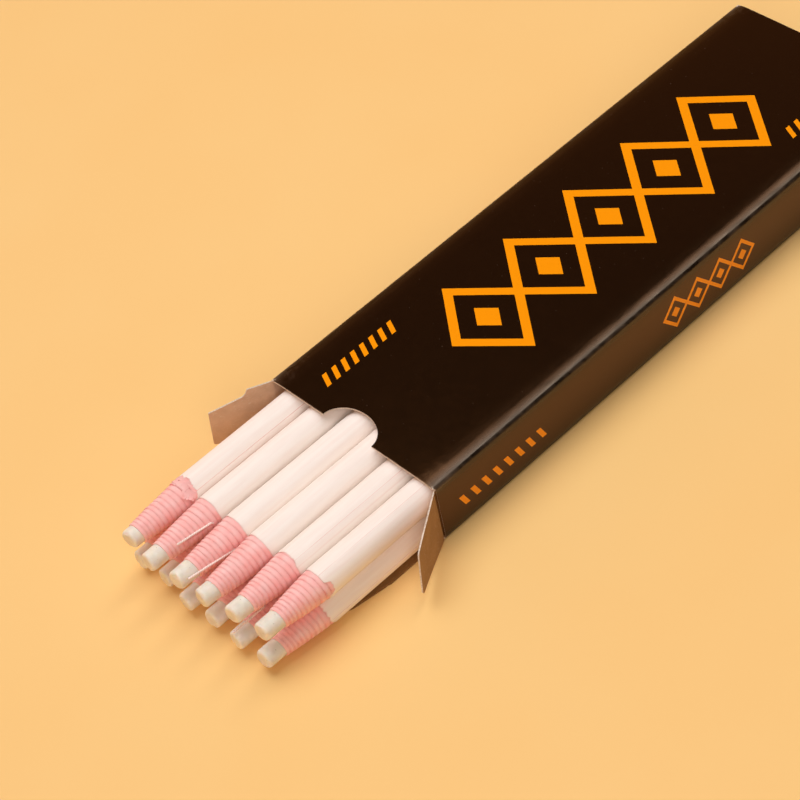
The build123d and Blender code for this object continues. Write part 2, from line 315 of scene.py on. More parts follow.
bare = add_node(tree, "Math", {0: rub, 1: grit.outputs["Fac"]}, operation="MULTIPLY")
bare = add_node(tree, "MapRange", {0: bare, 1: 0.33, 2: 0.42, 3: 0.0, 4: 1.0})
fibre = add_node(tree, "Mix", {0: bare, 6: rubbed.outputs[2], 7: linear(BARED_FIBRE)}, data_type="RGBA")
dust = add_node(tree, "TexNoise", {"Vector": place, "Scale": per_size(0.7), "Detail": 1.0})
speck = add_node(tree, "MapRange", {0: dust.outputs["Fac"], 1: 0.74, 2: 0.8, 3: 0.0, 4: 0.2})
dusty = add_node(tree, "Mix", {0: speck, 6: fibre.outputs[2], 7: linear(DUST)}, data_type="RGBA")
haze = add_node(tree, "Attribute", attribute_name="haze").outputs["Fac"]
gloss = add_node(tree, "MapRange", {0: smudge.outputs["Fac"], 1: 0.3, 2: 0.8, 3: 0.14, 4: 0.18})
drawn = add_node(tree, "VectorMath", {0: place, 1: (1.0, 0.15, 1.0)}, operation="MULTIPLY")
streak = add_node(tree, "TexNoise", {"Vector": drawn, "Scale": per_size(0.9), "Detail": 4.0})
scuff = add_node(tree, "MapRange", {0: streak.outputs["Fac"], 1: 0.3, 2: 0.7, 3: 0.05, 4: 0.3})
gloss = add_node(tree, "Math", {0: haze, 1: scuff, 2: gloss}, operation="MULTIPLY_ADD")
rough = add_node(tree, "Math", {0: dull, 1: 0.4, 2: gloss}, operation="MULTIPLY_ADD")
tree.links.new(rough.outputs[0], shader.inputs["Roughness"])
sheen = add_node(tree, "Mix", {0: haze, 6: linear(WARM_SHINE), 7: linear(FOLD_SHINE)}, data_type="RGBA")
tree.links.new(sheen.outputs[2], shader.inputs["Specular Tint"])
finish_material(tree, shader, dusty, grit, 0.06, 0.05, {"IOR": 1.7})

# Bare recycled pulp: the unprinted back of the board, a matt grey brown sheet flecked with fibres that lie
# mostly one way, drawn coarser than real ones so that they show. The unprinted outer liner is the same but
# a deeper brown. The back and cut edges of the open front lid and its tongue are a dark brown, painted shade
# where they lie out under the markers.
PULP = ("#e2bfa1", "#c09b7e", "#e3d0bb")
LINER = ("#b48959", "#986f44", "#c5a988")
LID_SHADE_PULP = ("#8f6636", "#775126", "#a58458")


def make_pulp(name, shades):
    """Material of a bare face of the board, from its light, dark and fleck colours."""
    light, dark, flecks = [linear(shade) for shade in shades]
    material, tree, shader = start_material(name)
    place = add_node(tree, "TexCoord").outputs["Object"]
    drawn = add_node(tree, "VectorMath", {0: place, 1: (1.0, 0.25, 1.0)}, operation="MULTIPLY")
    cloud = add_node(tree, "TexNoise", {"Vector": place, "Scale": per_size(3.5), "Detail": 4.0})
    hair = add_node(tree, "TexNoise", {"Vector": drawn, "Scale": per_size(0.38), "Detail": 4.0})
    tone = add_node(tree, "MapRange", {0: cloud.outputs["Fac"], 1: 0.35, 2: 0.7, 3: 0.1, 4: 0.5})
    pulp = add_node(tree, "Mix", {0: tone, 6: light, 7: dark}, data_type="RGBA")
    fleck = add_node(tree, "MapRange", {0: hair.outputs["Fac"], 1: 0.58, 2: 0.72, 3: 0.0, 4: 0.6})
    flecked = add_node(tree, "Mix", {0: fleck, 6: pulp.outputs[2], 7: flecks}, data_type="RGBA")
    finish_material(tree, shader, flecked, hair, 0.35, 0.06, {"Roughness": 0.88, "IOR": 1.45})
    return material


board_pulp = make_pulp("bare_recycled_pulp_back", PULP)
board_liner = make_pulp("bare_recycled_pulp_liner", LINER)
board_lid_shade = make_pulp("shade_painted_recycled_pulp_back", LID_SHADE_PULP)

# Die cut edge: the torn-looking layers of the board's core, paler than either face and rough enough to
# look broken. The layers are drawn coarser than real ones so that they show.
CUT_PALE = "#e4d6c6"
CUT_SHADE = "#b9a38d"
board_edge, tree, shader = start_material("die_cut_boxboard_edge")
place = add_node(tree, "TexCoord").outputs["Object"]
layer = add_node(tree, "TexNoise", {"Vector": place, "Scale": per_size(0.4), "Detail": 4.0})
share = add_node(tree, "MapRange", {0: layer.outputs["Fac"], 1: 0.4, 2: 0.68, 3: 0.0, 4: 0.8})
cut = add_node(tree, "Mix", {0: share, 6: linear(CUT_PALE), 7: linear(CUT_SHADE)}, data_type="RGBA")
finish_material(tree, shader, cut, layer, 0.5, 0.08, {"Roughness": 0.9})
PRINT_FACE, BACK_FACE, CUT_FACE, LINER_FACE = range(4)
BOARD_FINISHES = (board_print, board_pulp, board_edge, board_liner)
# Painted shade: the open front lid and its tongue get a dark brown back and cut edges, where they lie under
# the markers
LID_SHADE_FINISHES = (board_print, board_lid_shade, board_lid_shade, board_liner)
SHARP_EDGE = math.radians(38)
CUT_SLACK = 1e-4


def make_piece(name, points, faces, finishes, finish_of=None, values=None):
    """Mesh piece from points in millimetres, with each face's finish and named values at its points."""
    mesh = bpy.data.meshes.new(name)
    mesh.from_pydata([Vector(point) * MM for point in points], [], faces)
    for finish in finishes:
        mesh.materials.append(finish)
    mesh.polygons.foreach_set("material_index", finish_of or [0] * len(faces))
    for label, amounts in (values or {}).items():
        mesh.attributes.new(label, "FLOAT", "POINT").data.foreach_set("value", amounts)
    work = bmesh.new()
    work.from_mesh(mesh)
    bmesh.ops.recalc_face_normals(work, faces=work.faces[:])
    work.to_mesh(mesh)
    work.free()
    mesh.polygons.foreach_set("use_smooth", [True] * len(mesh.polygons))
    mesh.set_sharp_from_angle(angle=SHARP_EDGE)
    piece = bpy.data.objects.new(name, mesh)
    bpy.context.scene.collection.objects.link(piece)
    return piece


def make_board(name, outline, u_cuts, v_cuts, fold, worn, ink_end=math.inf, finishes=BOARD_FINISHES):
    """Board piece: a flat outline cut into a grid, given its thickness, then folded into place.
    The print covers its outer face up to ink_end along u."""
    flat = bmesh.new()
    flat.faces.new([flat.verts.new((u, v, 0)) for u, v in outline])
    for axis, cuts in ((0, u_cuts), (1, v_cuts)):
        normal = Vector((1 - axis, axis, 0))
        for cut in cuts:
            everything = flat.verts[:] + flat.edges[:] + flat.faces[:]
            knife = {"plane_co": normal * cut, "plane_no": normal, "dist": CUT_SLACK}
            bmesh.ops.bisect_plane(flat, geom=everything, **knife)
    flat.verts.index_update()
    spots = [vert.co.copy() for vert in flat.verts]
    count = len(spots)
    sheet = [[vert.index for vert in face.verts] for face in flat.faces]
    rim = [[vert.index for vert in edge.verts] for edge in flat.edges if edge.is_boundary]
    flat.free()
    points = [fold(spot.x, spot.y, HALF_BOARD) for spot in spots]
    points += [fold(spot.x, spot.y, -HALF_BOARD) for spot in spots]
    faces = list(sheet)
    faces += [[corner + count for corner in reversed(face)] for face in sheet]
    faces += [[a, b, b + count, a + count] for a, b in rim]
    face_starts = [min(spots[corner].x for corner in face) for face in sheet]
    finish_of = [LINER_FACE if start > ink_end - CUT_SLACK else PRINT_FACE for start in face_starts]
    finish_of += [BACK_FACE] * len(sheet) + [CUT_FACE] * len(rim)
    worn_spots = [worn(spot.x, spot.y) for spot in spots] * 2
    values = {"wear": [wear for wear, haze in worn_spots], "haze": [haze for wear, haze in worn_spots]}
    return make_piece(name, points, faces, finishes, finish_of, values)


# Wear of the print: how strong it is, and how far it reaches from folds, cut edges and corners
RUB_REACH = 0.9
FOLD_RUB = 0.45
CORNER_RUB = 0.55
CORNER_REACH = 9.0
HAZE_REACH = 4.0
CUT_REACH = 0.35
CUT_RUB = 0.9
HANDLED = 0.5
HANDLED_ACROSS = 13.0
HANDLED_ALONG = 30.0
BARED = 1.9
BARED_ACROSS = 1.2
BARED_ALONG = 1.8


def sleeve_worn(u, v):
    """How rubbed and how hazy the print is: along the folds, at the cut edges and most at the corners."""
    panel, along = panel_of(u)
    from_fold = max(min(abs(along), abs(PANEL_RUNS[panel] - along)), 0)
    if along > PANEL_RUNS[panel]:
        from_fold = 0.0
    from_cut = REAR - abs(v)
    fold_rub = nearness(from_fold, RUB_REACH) * (FOLD_RUB + CORNER_RUB * nearness(from_cut, CORNER_REACH))
    cut_rub = nearness(from_cut, CUT_REACH) * CUT_RUB
    held = nearness(math.hypot(from_fold / HANDLED_ACROSS, from_cut / HANDLED_ALONG), 1)
    handled = HANDLED * held if panel == TOP_PANEL else 0.0
    bared = BARED * nearness(math.hypot(from_fold / BARED_ACROSS, from_cut / BARED_ALONG), 1)
    haze = nearness(from_fold, HAZE_REACH) ** 2
    return max(fold_rub, cut_rub, handled, bared), haze


# Cuts across the blank and along it, closest together beside the folds and ends, where the board bends
NEAR_EDGE_CUTS = (0.25, 0.6, 1.0, 1.5, 2.0)
ACROSS_FROM = 2.5
ACROSS_CUTS = 2.6
ALONG_FROM = 2.6
ALONG_CUTS = 3.2
FOLD_CUTS = 8
fold_cuts = []
for panel in range(4):
    start = PANEL_STARTS[panel]
    stop = start + PANEL_RUNS[panel]
    fold_cuts += [start + cut for cut in NEAR_EDGE_CUTS] + [stop - cut for cut in NEAR_EDGE_CUTS]
    fold_cuts += even_cuts(start + ACROSS_FROM, stop - ACROSS_FROM, ACROSS_CUTS)
    fold_cuts += [start + ACROSS_FROM, stop - ACROSS_FROM]
    fold_cuts += [stop + FOLD_ARC * part / FOLD_CUTS for part in range(FOLD_CUTS + 1)]
length_cuts = [end * (REAR - cut) for end in (-1, 1) for cut in (*NEAR_EDGE_CUTS, ALONG_FROM)]
length_cuts += even_cuts(-REAR + ALONG_FROM, REAR - ALONG_FROM, ALONG_CUTS)
sleeve = make_board("carton_sleeve_board", sleeve_outline(), fold_cuts, length_cuts, fold_sleeve, sleeve_worn)
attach(sleeve, "carton")
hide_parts("carton_sleeve")

# Glue flap: the strip of the blank that closes the tube, with bevelled ends, pasted flat on the inside of
# the left wall.
GLUE_FLAP_BEVEL = 4.0
GLUE_CUTS_ALONG = 6.0
GLUE_CUTS_UP = 2.5
glue_low, glue_high = box_mm("carton_glue_flap")


def lay_glue_flap(u, v, w):
    """The flap lies against the left wall and bows with it, with its bare side to the markers."""
    bow = panel_swell(LEFT_PANEL, min(max(HEIGHT - FOLD_RADIUS - v, 0), SIDE_RUN), u)
    return Vector(((glue_low.x + glue_high.x) / 2 - w - bow, u, v))


glue_top = min(glue_high.z, HEIGHT - FOLD_RADIUS)
glue_outline = [
    (glue_low.y, glue_top),
    (glue_low.y + GLUE_FLAP_BEVEL, glue_low.z),
    (glue_high.y - GLUE_FLAP_BEVEL, glue_low.z),
    (glue_high.y, glue_top),
]
glue_flap = make_board(
    "carton_glue_flap_board",
    glue_outline,
    even_cuts(glue_low.y, glue_high.y, GLUE_CUTS_ALONG),
    even_cuts(glue_low.z, glue_top, GLUE_CUTS_UP),
    lay_glue_flap,
    lambda u, v: (0.0, 0.0),
)
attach(glue_flap, "carton")
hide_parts("carton_glue_flap")

# Lids, tuck tongues and dust flaps: panels of the same blank that hang on pressed creases at both ends.
# A crease is board crushed along a line, so it bends there like a living hinge. The ink runs just past the
# creases of the dust flaps and leaves the rest of them bare.
CREASE_GAP = 0.4525
TONGUE_CREASE_GAP = 0.788
TONGUE_TAPER = 2.0
TONGUE_ROUND = 3.0
FLAP_LENGTH = 18.8
FLAP_RAKE = 2.9
FLAP_TOP_TAPER = 2.4
FLAP_BOTTOM_TAPER = 3.4
FLAP_ROUND = 1.0
STEPPED_FLAP_LENGTH = 17.0
STEPPED_FLAP_RAKE = 0.8
STEP_AT = 6.0
STEP_RUN = 1.5
STEP_DROP = 1.9
STEP_BREAK = 0.7
STEP_TAPER = 1.9
STEPPED_BOTTOM_TAPER = 2.2
STEPPED_ROUND = 0.4
RIGHT_FLAP_OPEN = math.radians(31)
LEFT_FLAP_OPEN = math.radians(26)
RIGHT_FLAP_CURL = 0.2
LEFT_FLAP_CURL = 0.7
ROUND_STEPS = 7
CREASE_CUTS = 8
PANEL_CUTS_OUT = 1.5
PANEL_CUTS_ALONG = 1.8
NEARLY_STRAIGHT = 0.01
FLAP_RIPPLE = 0.12
RIPPLE_LENGTH = 9.0
FLAP_INK_END = CREASE_GAP
CREASE_RUB = 1.1
CREASE_WEAR = 0.1
CREASE_END = 1.6
CREASE_DEPTH = 0.26
CREASE_HALF = 0.3
SIDE_X = HALF_WIDTH - HALF_BOARD
X_WAY = Vector((1, 0, 0))
Y_WAY = Vector((0, 1, 0))
Z_WAY = Vector((0, 0, 1))


def round_corner(before, corner, after, radius):
    """Points of an arc that rounds one corner of a flat outline."""
    corner = Vector(corner)
    into = (Vector(before) - corner).normalized()
    away = (Vector(after) - corner).normalized()
    half = into.angle(away) / 2
    centre = corner + (into + away).normalized() * radius / math.sin(half)
    first = corner + into * radius / math.tan(half) - centre
    last = corner + away * radius / math.tan(half) - centre
    spread = first.angle(last)
    turns = [spread * step / ROUND_STEPS for step in range(ROUND_STEPS + 1)]
    weights = [(math.sin(spread - turn), math.sin(turn)) for turn in turns]
    return [tuple(centre + (first * a + last * b) / math.sin(spread)) for a, b in weights]


def crease_fold(edge, hinge, outward, printed, along, curl, ripple, length):
    """Folds a panel that leaves a board edge, bends at its crease and goes on outward.
    Also gives where its outline starts before the hinge, and where its bend ends after it."""
    reach = (hinge - edge).length
    lead = (hinge - edge).normalized()
    turn = math.atan2(outward.dot(printed), outward.dot(lead))
    straight = abs(turn) < NEARLY_STRAIGHT
    bend = 2 * reach if straight else turn * reach / math.tan(turn / 2)

    def fold(u, v, w):
        share = min(max((u - reach + bend) / bend, 0), 1)
        angle = turn * share
        normal = printed * math.cos(angle) - lead * math.sin(angle)
        if share == 1 or straight:
            base = hinge + outward * u
        else:
            radius = bend / turn
            base = edge + (lead * math.sin(angle) + printed * (1 - math.cos(angle))) * radius
        free = max(u - reach, 0) / length
        bow = curl * free * free + ripple * free * noise.noise(Vector((u, v, edge.x)) / RIPPLE_LENGTH)
        pressed = CREASE_DEPTH * math.exp(-((u / CREASE_HALF) ** 2)) if w > 0 else 0.0
        return base + along * v + normal * (w - pressed + bow)

    return fold, reach - bend, reach


def hang_panel(name, outline, edge, hinge, outward, printed, along, ink_end=math.inf, curl=0.0,
               ripple=0.0, finishes=BOARD_FINISHES):
    """Makes one creased panel, bends its crease from carrier to own body, and stands it for its node."""
    length = max(u for u, v in outline)
    fold, start, bend_end = crease_fold(edge, hinge, outward, printed, along, curl, ripple, length)
    whole = [(max(u, start) if u > 0 else start, v) for u, v in outline]
    low = min(v for u, v in outline)
    high = max(v for u, v in outline)

    def panel_worn(u, v):
        """The print cracks along the crease, most at its two ends."""
        near_end = nearness(min(v - low, high - v), CREASE_END)
        return nearness(abs(u), CREASE_RUB) * (CREASE_WEAR + BARED * near_end), 0.0

    u_cuts = [start + (bend_end - start) * part / CREASE_CUTS for part in range(1, CREASE_CUTS + 1)]
    u_cuts += even_cuts(bend_end, length, PANEL_CUTS_OUT)
    v_cuts = even_cuts(low, high, PANEL_CUTS_ALONG)
    panel = make_board(name + "_board", whole, u_cuts, v_cuts, fold, panel_worn, ink_end, finishes)
    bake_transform(panel)
    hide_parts(name)


tongue_low, tongue_high = box_mm("front_tongue")
LID_HALF = box_mm("front_lid")[1].x
TONGUE_HALF = tongue_high.x
LID_CREASE = REAR + CREASE_GAP
TUCK_Z = box_mm("rear_tongue")[0].z + HALF_BOARD
LID_LENGTH = TUCK_Z - HALF_BOARD
TONGUE_LENGTH = tongue_high.y - HALF_BOARD - tongue_low.y
LID_END = LID_LENGTH - TONGUE_CREASE_GAP
FLAP_CREASE = SIDE_END + CREASE_GAP
lid_outline = [(0, -LID_HALF), (LID_END, -LID_HALF), (LID_END, LID_HALF), (0, LID_HALF)]
tongue_corners = [
    (0, -TONGUE_HALF),
    (TONGUE_LENGTH, TONGUE_TAPER - TONGUE_HALF),
    (TONGUE_LENGTH, TONGUE_HALF - TONGUE_TAPER),
    (0, TONGUE_HALF),
]


def round_outer(corners, numbers, radius):
    """Outline with some of its corners rounded."""
    points = []
    for number, corner in enumerate(corners):
        if number in numbers:
            points += round_corner(corners[number - 1], corner, corners[(number + 1) % len(corners)], radius)
        else:
            points.append(corner)
    return points


tongue_outline = round_outer(tongue_corners, (1, 2), TONGUE_ROUND)
bottom_front = Vector((0, -REAR, HALF_BOARD))
bottom_rear = Vector((0, REAR, HALF_BOARD))
front_hinge = Vector((0, -LID_CREASE, HALF_BOARD))
rear_hinge = Vector((0, LID_CREASE, HALF_BOARD))
front_tuck = front_hinge - Y_WAY * LID_LENGTH
rear_tuck = Vector((0, LID_CREASE, TUCK_Z))
# The front lid and its tongue lie under the markers, so their back and cut edges are painted dark brown as
# shade
hang_panel("front_lid", lid_outline, bottom_front, front_hinge, -Y_WAY, -Z_WAY, X_WAY,
           finishes=LID_SHADE_FINISHES)
hang_panel("front_tongue", tongue_outline, front_hinge - Y_WAY * LID_END, front_tuck, -Y_WAY, -Z_WAY, X_WAY,
           finishes=LID_SHADE_FINISHES)
hang_panel("rear_lid", lid_outline, bottom_rear, rear_hinge, Z_WAY, -Z_WAY, X_WAY)
hang_panel("rear_tongue", tongue_outline, rear_hinge + Z_WAY * LID_END, rear_tuck, -Y_WAY, Y_WAY, X_WAY)


def plain_flap_outline(low, high):
    """Dust flap with tapered edges, a raked end and small round corners."""
    corners = [
        (0, low),
        (FLAP_LENGTH, low + FLAP_BOTTOM_TAPER),
        (FLAP_LENGTH - FLAP_RAKE, high - FLAP_TOP_TAPER),
        (0, high),
    ]
    return round_outer(corners, (1, 2), FLAP_ROUND)


def stepped_flap_outline(low, high):
    """Dust flap whose top edge steps down part way out."""
    corners = [
        (0, low),
        (STEPPED_FLAP_LENGTH, low + STEPPED_BOTTOM_TAPER),
        (STEPPED_FLAP_LENGTH - STEPPED_FLAP_RAKE, high - STEP_DROP - STEP_TAPER),
        (STEP_AT + STEP_RUN, high - STEP_DROP),
        (STEP_AT + STEP_RUN / 2, high - STEP_DROP * STEP_BREAK),
        (STEP_AT, high),
        (0, high),
    ]
    return round_outer(corners, (1, 2), STEPPED_ROUND)


for side, word, opened, curl, outline in (
    (-1, "left", LEFT_FLAP_OPEN, LEFT_FLAP_CURL, stepped_flap_outline),
    (1, "right", RIGHT_FLAP_OPEN, RIGHT_FLAP_CURL, plain_flap_outline),
):
    low, high = box_mm(f"front_flap_{word}")
    edge = Vector((side * SIDE_X, -SIDE_END, 0))
    hinge = Vector((side * SIDE_X, -FLAP_CREASE, 0))
    outward = Vector((side * math.sin(opened), -math.cos(opened), 0))
    hang_panel(f"front_flap_{word}", outline(low.z, high.z), edge, hinge, outward, X_WAY * side, Z_WAY,
               FLAP_INK_END, curl, FLAP_RIPPLE)
    low, high = box_mm(f"rear_flap_{word}")
    edge = Vector((side * SIDE_X, SIDE_END, 0))
    hinge = Vector((side * SIDE_X, FLAP_CREASE, 0))
    hang_panel(f"rear_flap_{word}", plain_flap_outline(low.z, high.z), edge, hinge, X_WAY * -side,
               X_WAY * side, Z_WAY, FLAP_INK_END)

# Marker core: a cast stick of pigmented wax, nearly white, with a blunt end that breaks and rubs round.
# The paper is wound straight onto it.
MARKERS = [(row, number) for row in ("upper", "lower") for number in range(1, 7)]
SEED_STEP = 17.3
CORE_AROUND = 48
CORE_CUTS = 0.4
CORE_SEEN = 1.5
CORE_ROUND = 0.8
CORE_ROUND_STEPS = 6
END_RINGS = (3.2, 2, 1, 0)
END_RING_GAP = 0.5
END_MIDDLE = 0.15
CORE_WOBBLE = 0.05
WOBBLE_MOST = 0.02
WOBBLE_SCALE = 0.9
BARE_PAST = 0.3
CHIP_DEPTH = 0.28
CHIP_STARTS = 0.22
CHIP_FULL = 0.4
CHIP_SCALE = 0.7
CHIP_LANE = Vector((5, 9, 2))
TIP_REACH = 1.4
TIP_BACK = 0.1
TIP_TILT = 0.22
TILT_LANE = (0.3, 0.7)
TILT_TURNS = 9
WAX = "#eee8db"
WAX_SHADE = "#dfd8c8"
WAX_SPECK = "#9a9080"

# Cast wax: slightly waxy and translucent, so edges glow and shadows stay soft, with clouding, tiny dark
# specks of dirt and a dull rubbed surface.
wax, tree, shader = start_material("cast_white_wax")
place = add_node(tree, "TexCoord").outputs["Object"]
cloud = add_node(tree, "TexNoise", {"Vector": place, "Scale": per_size(1.6), "Detail": 4.0})
speck = add_node(tree, "TexNoise", {"Vector": place, "Scale": per_size(0.55), "Detail": 1.0})
tone = add_node(tree, "MapRange", {0: cloud.outputs["Fac"], 1: 0.4, 2: 0.72, 3: 0.0, 4: 0.8})
milk = add_node(tree, "Mix", {0: tone, 6: linear(WAX), 7: linear(WAX_SHADE)}, data_type="RGBA")
dirt = add_node(tree, "MapRange", {0: speck.outputs["Fac"], 1: 0.74, 2: 0.79, 3: 0.0, 4: 0.55})
dirty = add_node(tree, "Mix", {0: dirt, 6: milk.outputs[2], 7: linear(WAX_SPECK)}, data_type="RGBA")
finish_material(tree, shader, dirty, cloud, 0.35, 0.15, {
    "Roughness": 0.5,
    "IOR": 1.44,
    "Subsurface Weight": 0.5,
    "Subsurface Radius": (1.0, 0.75, 0.5),
    "Subsurface Scale": 1.0 * MM,
})


def marker_facts(row, number):
    """Sizes of one marker, read from its CAD nodes: its tip, radii, lengths and the thread's angle."""
    name = f"{row}_{number}"
    core_low, core_high = box_mm(f"{name}_core")
    wrap_low, wrap_high = box_mm(f"{name}_wrap")
    label_low = box_mm(f"{name}_label")[0]
    thread_low, thread_high = box_mm(f"{name}_thread")
    tip = Vector(((core_low.x + core_high.x) / 2, core_low.y, (core_low.z + core_high.z) / 2))
    thread = (thread_low + thread_high) / 2 - tip
    return {
        "name": name,
        "body": f"marker_{name}",
        "tip": tip,
        "length": core_high.y - core_low.y,
        "core_radius": (core_high.x - core_low.x) / 2,
        "wrap_front": wrap_low.y - core_low.y,
        "wrap_radius": (wrap_high.z - wrap_low.z) / 2,
        "label_front": label_low.y - core_low.y,
        "thread_tail": thread_low.y - core_low.y,
        "thread_end": thread_high.y - core_low.y,
        "thread_at": math.hypot(thread.x, thread.z),
        "thread_angle": math.atan2(thread.z, thread.x),
        "seed": MARKERS.index((row, number)) * SEED_STEP,
    }


def on_marker(marker, behind, radius, angle):
    """Point of a marker, behind its tip and out from its middle; angle 0 faces +X and 90 degrees up."""
    return marker["tip"] + Vector((radius * math.cos(angle), behind, radius * math.sin(angle)))


def noise_place(angle, waves, lane):
    """Place in the noise for an angle around a marker: more waves change faster round it."""
    return Vector((math.cos(angle) * waves, math.sin(angle) * waves, lane))


def close_rings(rings, around, first=0):
    """Quads between rings of points that follow each other in a list."""
    faces = []
    for ring in range(rings - 1):
        for step in range(around):
            a = first + ring * around + step
            b = first + ring * around + (step + 1) % around
            faces.append([a, b, b + around, a + around])
    return faces


def close_tube(rings, around):
    """Faces of a round bar: quads between its rings and a cap at each end."""
    faces = close_rings(rings, around)
    faces.append(list(range(around))[::-1])
    faces.append([(rings - 1) * around + step for step in range(around)])
    return faces


def add_to_marker(marker, word, points, faces, material, node, values=None):
    """Makes one piece of a marker, lets it ride on the marker's body, and stands it for its node."""
    piece = make_piece(f"{marker['name']}_{word}", points, faces, [material], None, values)
    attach(piece, marker["body"])
    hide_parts(f"{marker['name']}_{node}")


def make_core(marker):
    """Wax stick, rounded and chipped at its tip."""
    radius = marker["core_radius"]
    profile = [(0.0, max(radius - CORE_ROUND - END_RING_GAP * ring, END_MIDDLE)) for ring in END_RINGS]
    for step in range(1, CORE_ROUND_STEPS + 1):
        angle = math.pi / 2 * step / CORE_ROUND_STEPS
        profile.append((CORE_ROUND * (1 - math.cos(angle)), radius - CORE_ROUND * (1 - math.sin(angle))))
    profile += [(s, radius) for s in even_cuts(CORE_ROUND, marker["wrap_front"] + CORE_SEEN, CORE_CUTS)]
    profile += [(marker["length"], radius)]
    tilt_angle = noise.noise(Vector((marker["seed"], *TILT_LANE))) * TILT_TURNS
    points = []
    for behind, out in profile:
        for step in range(CORE_AROUND):
            angle = math.tau * step / CORE_AROUND
            spot = Vector((out * math.cos(angle), behind, out * math.sin(angle) + marker["seed"]))
            rough = noise.noise(spot * WOBBLE_SCALE) * CORE_WOBBLE
            chipped = max(noise.noise(spot * CHIP_SCALE + CHIP_LANE) - CHIP_STARTS, 0)
            near_tip = nearness(behind, TIP_REACH)
            away = min(out / radius, 1)
            tilt = TIP_TILT * math.cos(angle - tilt_angle) * out / radius * near_tip
            sink = chipped * CHIP_DEPTH / CHIP_FULL * near_tip * away
            free = 1.0 if behind < marker["wrap_front"] + BARE_PAST else 0.0
            lift = min(rough * free - sink, WOBBLE_MOST)
            points.append(on_marker(marker, behind + (sink + TIP_BACK + tilt) * near_tip, out + lift, angle))
    faces = close_tube(len(profile), CORE_AROUND)
    add_to_marker(marker, "wax_core", points, faces, wax, "core")


# Wrap: a strip of soft pink paper wound round the core in a close spiral, each turn a little further
# back than the last, so the front is a cone of small paper steps that peel off turn by turn.
WRAP_AROUND = 72
WRAP_STEP = 1.22
EARLY_STEPS = 0.77
WRAP_EDGE = 0.3
WRAP_SHOULDER = 0.5
GLUE_FILM = 0.015
HIDDEN_TURNS = 3
HIDDEN_LIFT = 0.4
FRONT_WAVE = 0.06
TURN_LIFT = 0.025
TURN_SINK = 0.05
REAR_LAYERS = 14
SPIRAL_START = math.radians(150)
# Places in the noise, and its waves around a turn, so that no two turns shift, lift and darken alike
TURN_LANE = 3.7
TURN_WAVES = 2.2
LIFT_LANE = Vector((11, 5, 0))
LINE_LANE = Vector((3, 17, 0))
# How dark the paper is painted, part dust and part shade in the grooves: mean, spread and limits along a
# turn, then at the first turn, feet and layers
LINE_MEAN = 0.75
LINE_SPREAD = 0.6
LINE_LEAST = 0.3
LINE_MOST = 1.2
FIRST_LINE = 0.1
FOOT_LINE = 0.6
LAYER_LINE = 0.8
# Spots where a turn stands up: how many, from which turn, how far up and forward, and how wide and long
RAISED_SPOTS = 3
RAISED_FROM = 3
RAISED_UP = 0.12
RAISED_FORWARD = 0.16
RAISED_WIDE = 0.35
RAISED_LONG = 0.5
# Behind each turn's front edge: how far back, how far below its surface, and how dark the paper is painted
# as shade in the groove
TURN_ROWS = ((0.05, 0.08, 0.42), (0.2, 0.025, 0.22), (0.45, 0.0, 0.0))
# Ahead of the next turn's front edge: how far, how far below the surface, and how dark the paper is painted
# as shade in the groove
TURN_TAILS = ((0.5, 0.0, 0.0), (0.24, 0.03, 0.16), (0.08, 0.08, 0.34))
# Crumpled paper where a label is torn back: the middle around the marker and half its width in degrees,
# and how far it stands up
CRUMPLED = {"upper_1": (84, 66, 0.6), "upper_6": (14, 30, 0.3)}
CRUMPLE_TURNS = 1.6
CRUMPLE_WAVES = 6
CRUMPLE_ALONG = 2.3
CRUMPLE_MEAN = 0.4
CRUMPLE_SHIFT = 0.9
CRUMPLE_LANE = Vector((0, 0, 40))
# How dark crumpled paper is painted, as shade among its creases
CRUMPLE_LINE = 0.6
# A lip of paper peeled up: its angle in degrees, turns ahead of the label, how far up and how far forward
PEELED = {"upper_3": (25, 2.2, 0.16, 0.3)}
# Paper slit beside a thread that was pulled up: both ends as distance behind the tip and angle in degrees
SLIT = {"upper_2": ((16.6, 13), (8.5, 24))}
SLIT_HALF = 0.24
SLIT_DEPTH = 0.3
SLIT_TAPER = 4
# How dark the slit is painted, as shade under the pulled thread
SLIT_LINE = 1.2
# Torn lips: both ends of the root and then of the free edge as distance behind the tip and angle in degrees,
# and how far the middle of the free edge stands up
LIPS = {
    "upper_1": (
        ((17.0, 66), (18.9, 20), (14.7, 49), (17.1, 6), 0.9),
        ((19.4, 146), (18.7, 62), (16.9, 150), (15.9, 58), 0.45),
    ),
}
LIP_PAPER = 0.16
LIP_STEPS = 22
LIP_ROWS = 6
LIP_ENDS = 0.1
LIP_CURL = 1.5
LIP_BULGE = 0.15
LIP_RISE = 0.02
LIP_TUCK = 0.25
LIP_CRUMPLE = 0.5
LIP_WAVES = (11, 3)
LIP_RAGGED = 0.5
LIP_RAGGED_SCALE = 1.7
LIP_RAGGED_LANE = Vector((9, 0, 0))
# How dark the lip is painted as shade: at its root under the label, and on its underside
LIP_ROOT_LINE = 0.25
LIP_BACK_LINE = 0.8
PINK = "#ffbdb8"
PINK_PALE = "#ffcfcb"
PINK_LINE_AND_SHADE = "#cb6360"

